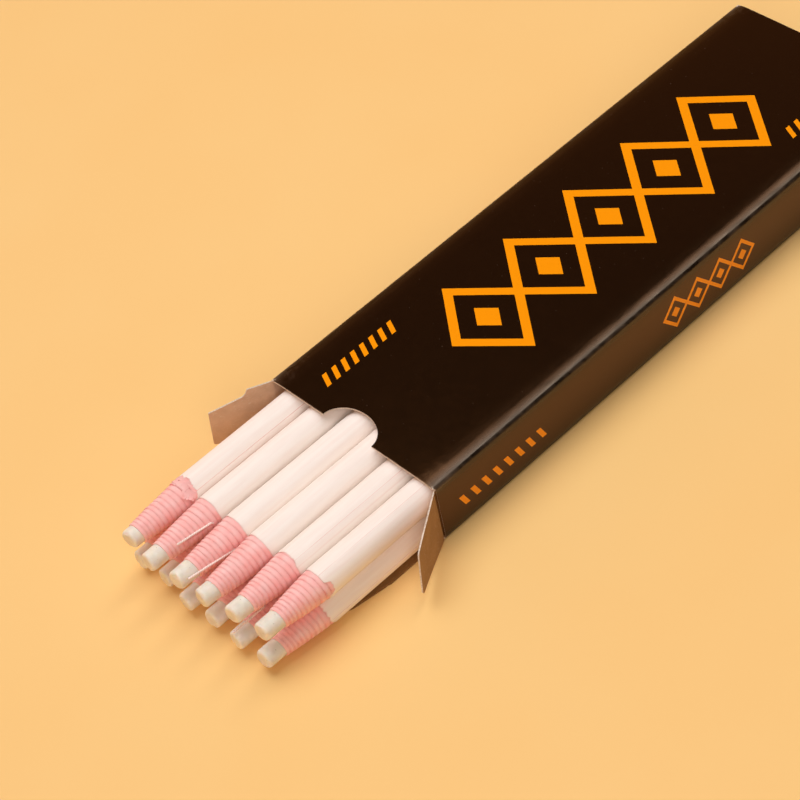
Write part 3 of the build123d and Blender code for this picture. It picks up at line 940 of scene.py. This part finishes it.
# Soft pink crepe-like paper: matt and fibrous, with a darker line where each turn's cut edge ends, part dust
# and part painted shade in the groove between turns. Painted shade also darkens the paper under lifted and
# crumpled turns, in a thread's slit and under torn lips. Its fibres are drawn coarser than real ones so that
# they show.
wrap_paper, tree, shader = start_material("wound_soft_pink_paper")
place = add_node(tree, "TexCoord").outputs["Object"]
line = add_node(tree, "Attribute", attribute_name="line").outputs["Fac"]
cloud = add_node(tree, "TexNoise", {"Vector": place, "Scale": per_size(2.2), "Detail": 4.0})
hair = add_node(tree, "TexNoise", {"Vector": place, "Scale": per_size(0.22), "Detail": 3.0})
tone = add_node(tree, "MapRange", {0: cloud.outputs["Fac"], 1: 0.35, 2: 0.7, 3: 0.0, 4: 1.0})
pink = add_node(tree, "Mix", {0: tone, 6: linear(PINK), 7: linear(PINK_PALE)}, data_type="RGBA")
dust = add_node(tree, "MapRange", {0: hair.outputs["Fac"], 1: 0.3, 2: 0.7, 3: 0.55, 4: 1.0})
mark = add_node(tree, "Math", {0: line, 1: dust}, operation="MULTIPLY")
# The line value darkens the pink, as dust and as painted shade
lined = add_node(tree, "Mix", {0: mark, 6: pink.outputs[2], 7: linear(PINK_LINE_AND_SHADE)}, data_type="RGBA")
finish_material(tree, shader, lined, hair, 0.3, 0.05, {
    "Roughness": 0.85,
    "IOR": 1.45,
    "Subsurface Weight": 0.12,
    "Subsurface Radius": (1.0, 0.35, 0.3),
    "Subsurface Scale": 0.4 * MM,
})


def turn_start(turn, turns):
    """Where a turn of the spiral starts, as a share of the cone: turns get longer towards the label."""
    share = turn / turns
    if share > 1:
        return 1 + (share - 1) * (2 - EARLY_STEPS)
    return EARLY_STEPS * share + (1 - EARLY_STEPS) * share * share


def add_lip(marker, lip, points, lines, faces):
    """Adds a thin crumpled lip of torn paper, rooted under the label and curled up to its free edge."""
    first = len(points)
    root_from, root_to, free_from, free_to, up = lip
    for skin in (0.0, LIP_PAPER):
        for step in range(LIP_STEPS + 1):
            along = step / LIP_STEPS
            swing = math.sin(math.pi * (LIP_ENDS + (1 - 2 * LIP_ENDS) * along))
            root = Vector(root_from).lerp(Vector(root_to), along)
            free = Vector(free_from).lerp(Vector(free_to), along)
            for row in range(LIP_ROWS + 1):
                across = row / LIP_ROWS
                behind, degrees = root.lerp(free, across)
                spot = Vector((along * LIP_WAVES[0], across * LIP_WAVES[1], marker["seed"] + up))
                crumple = LIP_CRUMPLE * noise.noise(spot) * across
                rolled = up * swing * across ** LIP_CURL + LIP_BULGE * math.sin(math.pi * across)
                out = marker["wrap_radius"] + LIP_RISE - LIP_TUCK * across + rolled + crumple - skin
                ragged = LIP_RAGGED * noise.noise(spot * LIP_RAGGED_SCALE + LIP_RAGGED_LANE) * across
                points.append(on_marker(marker, behind + ragged, out, math.radians(degrees)))
                # Painted shade: darker towards the root, and dark on the underside
                lines.append(LIP_ROOT_LINE * (1 - across) if skin == 0 else LIP_BACK_LINE)
    side = (LIP_STEPS + 1) * (LIP_ROWS + 1)
    for step in range(LIP_STEPS):
        for row in range(LIP_ROWS):
            here = first + step * (LIP_ROWS + 1) + row
            quad = [here, here + 1, here + LIP_ROWS + 2, here + LIP_ROWS + 1]
            faces.append(quad)
            faces.append([corner + side for corner in reversed(quad)])
    rim = [first + step * (LIP_ROWS + 1) for step in range(LIP_STEPS)]
    rim += [first + LIP_STEPS * (LIP_ROWS + 1) + row for row in range(LIP_ROWS)]
    rim += [first + step * (LIP_ROWS + 1) + LIP_ROWS for step in range(LIP_STEPS, 0, -1)]
    rim += [first + row for row in range(LIP_ROWS, 0, -1)]
    for number, corner in enumerate(rim):
        after = rim[(number + 1) % len(rim)]
        faces.append([corner, after, after + side, corner + side])


def loosen_turn(marker, turn, turns, angle, spots):
    """How far a turn's front edge shifts back and lifts at one angle, and how dark it is painted there as
    dust and shade.
    """
    wobble = noise_place(angle, TURN_WAVES, math.floor(turn) * TURN_LANE + marker["seed"])
    shift = noise.noise(wobble) * FRONT_WAVE
    lift = noise.noise(wobble + LIFT_LANE) * TURN_LIFT
    deep = min(max(LINE_MEAN + LINE_SPREAD * noise.noise(wobble + LINE_LANE), LINE_LEAST), LINE_MOST)
    for spot_angle, spot_turn, up, forward in spots:
        apart = math.remainder(angle - spot_angle, math.tau)
        raised = math.exp(-((apart / RAISED_WIDE) ** 2) - ((turn - spot_turn) / RAISED_LONG) ** 2)
        lift += up * raised
        shift -= forward * raised
        # Painted shade under a raised turn, darker the higher it stands
        deep += up * raised
    if marker["name"] in CRUMPLED:
        middle, half_width, up = CRUMPLED[marker["name"]]
        apart = math.remainder(angle - math.radians(middle), math.tau)
        loose = max(1 - (apart / math.radians(half_width)) ** 4, 0)
        loose *= min(max(turn - turns + CRUMPLE_TURNS, 0), 1) * min(max(turns + 1 - turn, 0), 1)
        crease = noise_place(angle, CRUMPLE_WAVES, turn * CRUMPLE_ALONG)
        lift += up * loose * max(CRUMPLE_MEAN + noise.noise(crease), 0)
        shift += up * loose * CRUMPLE_SHIFT * noise.noise(crease + CRUMPLE_LANE)
        # Painted shade in the crumpled paper
        deep += CRUMPLE_LINE * loose
    return shift, lift, deep


def cut_slit(marker, bore, points, lines):
    """Sinks the paper along the slit that a pulled thread left, and paints shade in it."""
    (far, far_angle), (near, near_angle) = SLIT[marker["name"]]
    for number, point in enumerate(points):
        seen = point - marker["tip"]
        share = (far - seen.y) / (far - near)
        if 0 <= share <= 1:
            middle = math.radians(far_angle + (near_angle - far_angle) * share)
            out = math.hypot(seen.x, seen.z)
            apart = math.remainder(math.atan2(seen.z, seen.x) - middle, math.tau) * out
            open_share = math.exp(-((apart / SLIT_HALF) ** 2)) * min(SLIT_TAPER * (1 - share), 1)
            sunk = max(out - SLIT_DEPTH * open_share, bore)
            points[number] = marker["tip"] + Vector((seen.x * sunk / out, seen.y, seen.z * sunk / out))
            lines[number] = max(lines[number], SLIT_LINE * open_share)


def make_wrap(marker):
    """Wound strip as one spiral surface, closed inside by its bore and behind by its cut end."""
    bore = marker["core_radius"] + GLUE_FILM
    front = marker["wrap_front"]
    cone = marker["label_front"] - front
    turns = round(cone / WRAP_STEP)
    rise = (marker["wrap_radius"] - bore - WRAP_EDGE) / (turns - 1)
    all_turns = turns + HIDDEN_TURNS
    chance = random.Random(marker["seed"])
    spots = []
    for _ in range(RAISED_SPOTS):
        spot_angle = chance.uniform(0, math.tau)
        spots.append((spot_angle, chance.uniform(RAISED_FROM, turns - 1), RAISED_UP, RAISED_FORWARD))
    if marker["name"] in PEELED:
        peel_angle, ahead, up, forward = PEELED[marker["name"]]
        spots.append((math.radians(peel_angle), turns - ahead, up, forward))
    count = all_turns * WRAP_AROUND + 1
    rows = len(TURN_ROWS) + len(TURN_TAILS) + 1
    tops = []
    points = []
    lines = []
    for sample in range(count):
        turn = sample / WRAP_AROUND
        angle = SPIRAL_START - math.tau * (sample % WRAP_AROUND) / WRAP_AROUND
        shift, lift, deep = loosen_turn(marker, turn, turns, angle, spots)
        behind = front + turn_start(turn, turns) * cone
        pitch = front + turn_start(turn + 1, turns) * cone - behind
        top = bore + WRAP_EDGE + rise * min(turn, turns - 1)
        tops.append(top)
        first_turn = sample < WRAP_AROUND
        foot = bore if first_turn else tops[sample - WRAP_AROUND] - TURN_SINK
        points.append(on_marker(marker, behind + shift, foot, angle))
        # The foot of each turn and the rows beside it are painted darker, as shade in the groove between
        # turns
        lines.append(FIRST_LINE if first_turn else FOOT_LINE * deep)
        hidden = HIDDEN_LIFT if turn > turns and marker["name"] not in CRUMPLED else 1.0
        for back, drop, dark in TURN_ROWS:
            fade = 1 - back / pitch
            out = top + (lift * fade - drop) * hidden
            points.append(on_marker(marker, behind + back + shift * fade, out, angle))
            lines.append(0.0 if first_turn else dark * deep)
        for ahead, drop, dark in TURN_TAILS:
            points.append(on_marker(marker, behind + pitch - ahead, top - drop, angle))
            lines.append(dark * deep)
    faces = []
    for sample in range(count - 1):
        here = sample * rows
        for row in range(rows - 1):
            faces.append([here + row, here + row + 1, here + rows + row + 1, here + rows + row])
        over = sample + WRAP_AROUND
        if over + 1 < count:
            faces.append([here + rows - 1, over * rows, (over + 1) * rows, here + 2 * rows - 1])
    start = (WRAP_AROUND - 1) * rows
    faces.append(list(range(rows)) + [WRAP_AROUND * rows, start])
    radius = marker["wrap_radius"]
    last_turn = (all_turns - 1) * WRAP_AROUND
    shoulder = front + turn_start(all_turns + 1, turns) * cone + WRAP_SHOULDER
    ring_outs = [(shoulder, radius)]
    for layer in range(REAR_LAYERS + 1):
        ring_outs.append((marker["length"], radius + (bore - radius) * layer / REAR_LAYERS))
    ring_first = len(points)
    for number, (behind, out) in enumerate(ring_outs):
        for step in range(WRAP_AROUND):
            points.append(on_marker(marker, behind, out, SPIRAL_START - math.tau * step / WRAP_AROUND))
            lines.append(LAYER_LINE if number % 2 else 0.0)
    for step in range(WRAP_AROUND):
        a = (last_turn + step) * rows + rows - 1
        b = (last_turn + step + 1) * rows + rows - 1
        c = ring_first + (step + 1) % WRAP_AROUND
        faces.append([a, b, c, ring_first + step])
    end = (count - 1) * rows
    faces.append([last_turn * rows + rows - 1] + [end + row for row in range(rows)] + [ring_first])
    faces += close_rings(len(ring_outs), WRAP_AROUND, ring_first)
    inner = ring_first + (len(ring_outs) - 1) * WRAP_AROUND
    for step in range(WRAP_AROUND):
        after = (step + 1) % WRAP_AROUND
        faces.append([step * rows, after * rows, inner + after, inner + step])
    if marker["name"] in SLIT:
        cut_slit(marker, bore, points, lines)
    for lip in LIPS.get(marker["name"], ()):
        add_lip(marker, lip, points, lines, faces)
    add_to_marker(marker, "paper_wrap", points, faces, wrap_paper, "wrap", {"line": lines})


# Label: one sheet of white wove paper rolled round the wrap and pasted down along a lap. Its front edge is
# cut by hand and a little ragged, and some edges are torn back.
LABEL_AROUND = 90
LABEL_FRONT_CUTS = [0.0, 0.25, 0.6, 1.2]
LABEL_CUTS = 3.4
LABEL_PAPER = 0.12
LABEL_RADIUS = 4.05
LABEL_SINK = 0.01
LABEL_WRINKLE = 0.05
WRINKLE_LENGTH = 55
WRINKLE_WAVES = 2.4
RUMPLED = {"upper_5": 1.6, "lower_6": 2.2}
# The lap's half width, step and slope, how flat it is pressed, and angles beside its edge in radians
LAP_HALF = 0.75
LAP_STEP = 0.1
LAP_RAMP = 0.5
LAP_PRESSED = 0.8
LAP_EDGE = 0.012
LAP_NEAR = 0.02
LAP_CLEAR = 0.03
# How pink the dirt is: along the lap's edge, all over the lap, and at the front edge
LAP_DIRT = 0.3
LAP_DIRT_SPREAD = 0.3
LAP_DIRT_LENGTH = 6
LAP_PINK = 0.1
LAP_SHOWS = 0.3
FRONT_DIRT = 0.6
FRONT_DIRT_REACH = 0.3
# The front edge: its raggedness, the coarse and fine waves of it, and how far back it is felt
FRONT_RAGGED = 0.16
RAGGED_WAVES = 1.5
RAGGED_COARSE = 1.3
RAGGED_FINE = 4
RAGGED_FINE_SHARE = 0.4
FRONT_REACH = 4.0
LAP_ANGLES = {"upper": (25, 218, 236, 310, 46, 62), "lower": (40, 140, 50, 130, 45, 350)}
PINK_LAPS = {"upper_1": 0.5, "upper_5": 0.25}
# Uneven front edges: the middle of the tear around the marker, half its width in degrees, and its depth,
# less than nothing where the paper reaches further forward
TORN = {
    "upper_1": ((90, 85, 1.9),),
    "upper_5": ((82, 40, 0.55),),
    "upper_6": ((14, 30, 1.9),),
    "lower_6": ((45, 62, -1.2), (-40, 24, 0.8)),
}
TORN_MEAN = 0.9
TORN_SPREAD = 0.3
TORN_SCALE = 5
LABEL_WHITE = "#fdf3ea"
LABEL_WARM = "#f8e9df"
LABEL_PINK = "#e6bcb0"

# White wove label paper: matt and even, with long faint streaks of a warmer white, and pinkish dirt at the
# lap and the ragged front edge. Its tooth is drawn coarser than a real one so that it shows.
label_paper, tree, shader = start_material("white_wove_label_paper")
place = add_node(tree, "TexCoord").outputs["Object"]
seam = add_node(tree, "Attribute", attribute_name="seam").outputs["Fac"]
drawn = add_node(tree, "VectorMath", {0: place, 1: (1.0, 0.06, 1.0)}, operation="MULTIPLY")
streak = add_node(tree, "TexNoise", {"Vector": drawn, "Scale": per_size(0.9), "Detail": 4.0})
hair = add_node(tree, "TexNoise", {"Vector": place, "Scale": per_size(0.3), "Detail": 3.0})
tone = add_node(tree, "MapRange", {0: streak.outputs["Fac"], 1: 0.4, 2: 0.72, 3: 0.0, 4: 0.75})
white = add_node(tree, "Mix", {0: tone, 6: linear(LABEL_WHITE), 7: linear(LABEL_WARM)}, data_type="RGBA")
stain = add_node(tree, "Mix", {0: seam, 6: white.outputs[2], 7: linear(LABEL_PINK)}, data_type="RGBA")
finish_material(tree, shader, stain, hair, 0.15, 0.03, {"Roughness": 0.72, "IOR": 1.47})


def label_edge(marker, angle):
    """How far a label's front edge lies behind its place at one angle: a ragged cut and any tears."""
    spot = noise_place(angle, RAGGED_WAVES, marker["seed"])
    ragged = noise.noise(spot * RAGGED_COARSE) * FRONT_RAGGED
    ragged += noise.noise(spot * RAGGED_FINE) * FRONT_RAGGED * RAGGED_FINE_SHARE
    torn = 0.0
    for middle, half_width, depth in TORN.get(marker["name"], ()):
        apart = math.remainder(angle - math.radians(middle), math.tau)
        share = apart / math.radians(half_width)
        uneven = TORN_MEAN + TORN_SPREAD * noise.noise(spot * TORN_SCALE)
        torn += depth * max(1 - share ** 4, 0) * uneven
    return ragged + torn


def make_label(marker, lap_angle):
    """Rolled sheet with a stepped lap, long wrinkles and a ragged front edge."""
    lap = math.radians(lap_angle)
    front = marker["label_front"]
    lap_reach = LAP_HALF / LABEL_RADIUS
    edges = [lap + lap_reach - LAP_EDGE, lap + lap_reach + LAP_EDGE]
    angles = [lap + lap_reach + LAP_CLEAR + (math.tau - 2 * LAP_CLEAR) * step / (LABEL_AROUND - 3)
              for step in range(LABEL_AROUND - 2)] + [a + math.tau for a in edges]
    sheet = marker["length"] - front
    stations = LABEL_FRONT_CUTS + even_cuts(LABEL_FRONT_CUTS[-1], sheet, LABEL_CUTS) + [sheet]
    rumpled = RUMPLED.get(marker["name"], 1.0)
    tint = PINK_LAPS.get(marker["name"], LAP_PINK)
    points = []
    seams = []
    for skin in (0, 1):
        for station in stations:
            lane = station / WRINKLE_LENGTH + marker["seed"]
            dirt_place = Vector((station / LAP_DIRT_LENGTH, marker["seed"], lap))
            broken = LAP_DIRT + LAP_DIRT_SPREAD * noise.noise(dirt_place)
            near_front = nearness(station, FRONT_DIRT_REACH) * FRONT_DIRT
            for angle in angles:
                behind = station + label_edge(marker, angle) * nearness(station, FRONT_REACH)
                from_lap = math.remainder(angle - lap, math.tau)
                on_lap = 0.0
                if from_lap <= lap_reach:
                    on_lap = min(max((from_lap + lap_reach + LAP_RAMP) / LAP_RAMP, 0), 1)
                wrinkle = noise.noise(noise_place(angle, WRINKLE_WAVES, lane)) * LABEL_WRINKLE * rumpled
                out = LABEL_RADIUS + LAP_STEP * on_lap * LAP_PRESSED + wrinkle - LABEL_SINK
                if skin:
                    out = LABEL_RADIUS - LABEL_PAPER
                points.append(on_marker(marker, front + behind, out, angle))
                near_lap = broken + tint if abs(from_lap - lap_reach) < LAP_NEAR else 0.0
                under_lap = LAP_SHOWS * tint * max(1 - (from_lap / lap_reach) ** 4, 0)
                if abs(from_lap + lap_reach) < math.pi / LABEL_AROUND:
                    under_lap = tint
                seams.append(max(near_lap, under_lap, near_front))
    rings = len(stations)
    around = len(angles)
    outer = close_rings(rings, around)
    inner = close_rings(rings, around, rings * around)
    faces = outer + [face[::-1] for face in inner]
    for ring in (0, rings - 1):
        for step in range(around):
            a = ring * around + step
            b = ring * around + (step + 1) % around
            faces.append([a, b, b + rings * around, a + rings * around])
    add_to_marker(marker, "paper_label", points, faces, label_paper, "label", {"seam": seams})


# Pull thread: two cotton plies twisted together, laid along the wrap under its outer turns, with a short
# tail left free over the cone. Pulling it slits the paper so the next turns peel off.
# Drawn a little thicker than the solid so that it shows
THREAD_RADIUS = 0.3
THREAD_AROUND = 12
THREAD_CUTS = 0.12
BURIED_CUTS = 6.0
BURIED_PAST = 1.0
PLY_TWIST = 1.3
PLY_WAIST = 0.1
FRAYED = 0.75
FRAY_LENGTH = 0.05
TAIL_HELD = 2.0
TAIL_LEAST = 1.0
TAIL_BEND = 0.5
BEND_LANE = (4.1, 8.2)
TAIL_DIVE = 3.0
# Tails that were pulled up: where each leaves the paper and where it ends, as distance behind the tip,
# distance from the marker's middle and angle in degrees
PULLED_TAILS = {
    "upper_2": ((16.2, 3.74, 19), (7.2, 3.4, 35)),
    "upper_3": ((17.4, 3.8, -7), (2.0, 2.85, 23)),
    "lower_5": ((9.0, 3.5, 84), (0.1, 3.2, 88)),
}
COTTON = "#fff1e8"
COTTON_GROOVE_SHADE = "#e6bdae"

# Twisted cotton: soft and matt, cream tinted by the pink paper dust, with painted shade between the plies.
# Its lint is drawn coarser than real fibres so that it shows.
cotton, tree, shader = start_material("twisted_two_ply_cotton")
place = add_node(tree, "TexCoord").outputs["Object"]
twist = add_node(tree, "Attribute", attribute_name="groove").outputs["Fac"]
lint = add_node(tree, "TexNoise", {"Vector": place, "Scale": per_size(0.12), "Detail": 2.0})
# Painted shade between the plies, broken up by the lint
groove = add_node(tree, "Math", {0: twist, 1: lint.outputs["Fac"]}, operation="MULTIPLY")
yarn = add_node(tree, "Mix", {0: groove, 6: linear(COTTON), 7: linear(COTTON_GROOVE_SHADE)}, data_type="RGBA")
finish_material(tree, shader, yarn, lint, 0.4, 0.04, {"Roughness": 0.9, "Sheen Weight": 0.2})


def thread_line(marker, behind):
    """Middle of the thread behind the tip: straight under the paper, then along its free tail."""
    angle = marker["thread_angle"]
    under = on_marker(marker, behind, marker["thread_at"], angle)
    if marker["name"] not in PULLED_TAILS:
        free = max(marker["label_front"] - marker["thread_tail"], TAIL_LEAST)
        loose = max((marker["label_front"] - TAIL_HELD - behind) / free, 0)
        bend_way = 1 if noise.noise(Vector((marker["seed"], *BEND_LANE))) > 0 else -1
        return under + Vector((-math.sin(angle), 0, math.cos(angle))) * bend_way * TAIL_BEND * loose * loose
    leaves, ends = PULLED_TAILS[marker["name"]]
    first = on_marker(marker, leaves[0], leaves[1], math.radians(leaves[2]))
    last = on_marker(marker, ends[0], ends[1], math.radians(ends[2]))
    if behind <= leaves[0]:
        return first.lerp(last, (leaves[0] - behind) / (leaves[0] - ends[0]))
    dive = min((behind - leaves[0]) / TAIL_DIVE, 1)
    return (first + Y_WAY * (behind - leaves[0])).lerp(under, dive * dive * (3 - 2 * dive))


def make_thread(marker):
    """Two-ply thread: a two-lobed section that turns along a line, with a thinner, frayed end."""
    tail = marker["thread_tail"]
    if marker["name"] in PULLED_TAILS:
        tail = PULLED_TAILS[marker["name"]][1][0]
    buried = marker["label_front"] + BURIED_PAST
    stations = [tail, tail + FRAY_LENGTH] + even_cuts(tail + FRAY_LENGTH, buried, THREAD_CUTS)
    stations += even_cuts(buried, marker["thread_end"], BURIED_CUTS) + [marker["thread_end"]]
    points = []
    grooves = []
    for number, behind in enumerate(stations):
        centre = thread_line(marker, behind)
        spin = math.tau * behind / PLY_TWIST
        fray = FRAYED if number == 0 else 1.0
        for step in range(THREAD_AROUND):
            angle = math.tau * step / THREAD_AROUND
            lobe = math.cos(2 * (angle - spin))
            out = THREAD_RADIUS * fray * (1 - PLY_WAIST + PLY_WAIST * lobe)
            points.append(centre + Vector((math.cos(angle), 0, math.sin(angle))) * out)
            # Painted shade where the plies meet
            grooves.append(0.5 - 0.5 * lobe)
    faces = close_tube(len(stations), THREAD_AROUND)
    values = {"groove": grooves}
    add_to_marker(marker, "pull_thread", points, faces, cotton, "thread", values)


for row, number in MARKERS:
    marker = marker_facts(row, number)
    make_core(marker)
    make_wrap(marker)
    make_label(marker, LAP_ANGLES[row][number - 1])
    make_thread(marker)

# Studio: a seamless sheet of apricot paper under the carton, a very large soft lamp overhead to the left, an
# oval one behind that catches the folds, one beside the camera, and a warm glow low down all round but for
# the dark of the room behind on the right. The camera stands where the photograph's did.
FLOOR_HALF = 1.5
FLOOR_GAP = 0.02 * MM
APRICOT = "#f8d08b"
APRICOT_DEEP = "#f7c980"
LENS = 108.77
CAMERA_PLACE = Vector((312.03, -286.29, 418.07)) * MM
AZIMUTH = math.radians(54.985)
ELEVATION = math.radians(46.595)
ROLL = math.radians(12.83)
KEY_LAMP = {"place": (-0.24, -0.06, 1.1), "size": (1.05, 1.05), "watts": 9.9, "colour": "#f7f7fc"}
FOLD_LAMP = {"place": (-0.17, 0.68, 1.05), "size": (0.4, 0.66), "watts": 2.4, "colour": "#fff8f0"}
FILL_LAMP = {"place": (0.66, -0.56, 0.72), "size": (0.75, 0.75), "watts": 3.8, "colour": "#f8f5f2"}
HORIZON_GLOW = "#dc9642"
ZENITH_GLOW = "#463b31"
GLOW_STARTS = 0.2
GLOW_ENDS = 0.74
DARK_WAY = (0.93, 0.37, 0.0)
DARK_STARTS = 0.2
DARK_ENDS = 0.65

# Matt coloured seamless paper: an even warm field with broad, faint clouds and hardly any shine.
seamless, tree, shader = start_material("apricot_seamless_paper")
place = add_node(tree, "TexCoord").outputs["Object"]
cloud = add_node(tree, "TexNoise", {"Vector": place, "Scale": per_size(60.0), "Detail": 2.0})
shades = {0: cloud.outputs["Fac"], 6: linear(APRICOT), 7: linear(APRICOT_DEEP)}
tone = add_node(tree, "Mix", shades, data_type="RGBA")
tree.links.new(tone.outputs[2], shader.inputs["Base Color"])
shader.inputs["Roughness"].default_value = 0.9
shader.inputs["Specular IOR Level"].default_value = 0.2
corners = [(x * FLOOR_HALF, y * FLOOR_HALF, -FLOOR_GAP) for x, y in ((-1, -1), (1, -1), (1, 1), (-1, 1))]
floor_mesh = bpy.data.meshes.new("studio_floor")
floor_mesh.from_pydata(corners, [], [(0, 1, 2, 3)])
floor_mesh.materials.append(seamless)
floor = bpy.data.objects.new("studio_floor", floor_mesh)
bpy.context.scene.collection.objects.link(floor)

world = bpy.data.worlds.new("studio_air")
world.use_nodes = True
bpy.context.scene.world = world
tree = world.node_tree
sky = add_node(tree, "TexCoord").outputs["Generated"]
height = add_node(tree, "SeparateXYZ", {0: sky}).outputs[2]
climb = add_node(tree, "MapRange", {0: height, 1: GLOW_STARTS, 2: GLOW_ENDS, 3: 0.0, 4: 1.0})
facing = add_node(tree, "VectorMath", {0: sky, 1: DARK_WAY}, operation="DOT_PRODUCT").outputs["Value"]
aside = add_node(tree, "MapRange", {0: facing, 1: DARK_STARTS, 2: DARK_ENDS, 3: 0.0, 4: 1.0})
dim = add_node(tree, "Math", {0: climb, 1: aside}, operation="MAXIMUM")
glow = add_node(tree, "Mix", {0: dim, 6: linear(HORIZON_GLOW), 7: linear(ZENITH_GLOW)}, data_type="RGBA")
tree.links.new(glow.outputs[2], tree.nodes["Background"].inputs["Color"])

for name, lamp in (("key_lamp", KEY_LAMP), ("fold_lamp", FOLD_LAMP), ("fill_lamp", FILL_LAMP)):
    light = bpy.data.lights.new(name, "AREA")
    light.shape = "ELLIPSE"
    light.size, light.size_y = lamp["size"]
    light.energy = lamp["watts"]
    light.color = linear(lamp["colour"])[:3]
    holder = bpy.data.objects.new(name, light)
    holder.location = lamp["place"]
    holder.rotation_mode = "QUATERNION"
    holder.rotation_quaternion = Vector(lamp["place"]).to_track_quat("Z", "Y")
    bpy.context.scene.collection.objects.link(holder)

camera = bpy.data.objects.new("camera", bpy.data.cameras.new("camera"))
camera.data.lens = LENS
camera.location = CAMERA_PLACE
level = math.cos(ELEVATION)
back = Vector((math.sin(AZIMUTH) * level, -math.cos(AZIMUTH) * level, math.sin(ELEVATION)))
camera.rotation_mode = "QUATERNION"
camera.rotation_quaternion = back.to_track_quat("Z", "Y") @ Quaternion((0, 0, 1), -ROLL)
bpy.context.scene.collection.objects.link(camera)
bpy.context.scene.camera = camera
bpy.context.scene.view_settings.view_transform = "Standard"
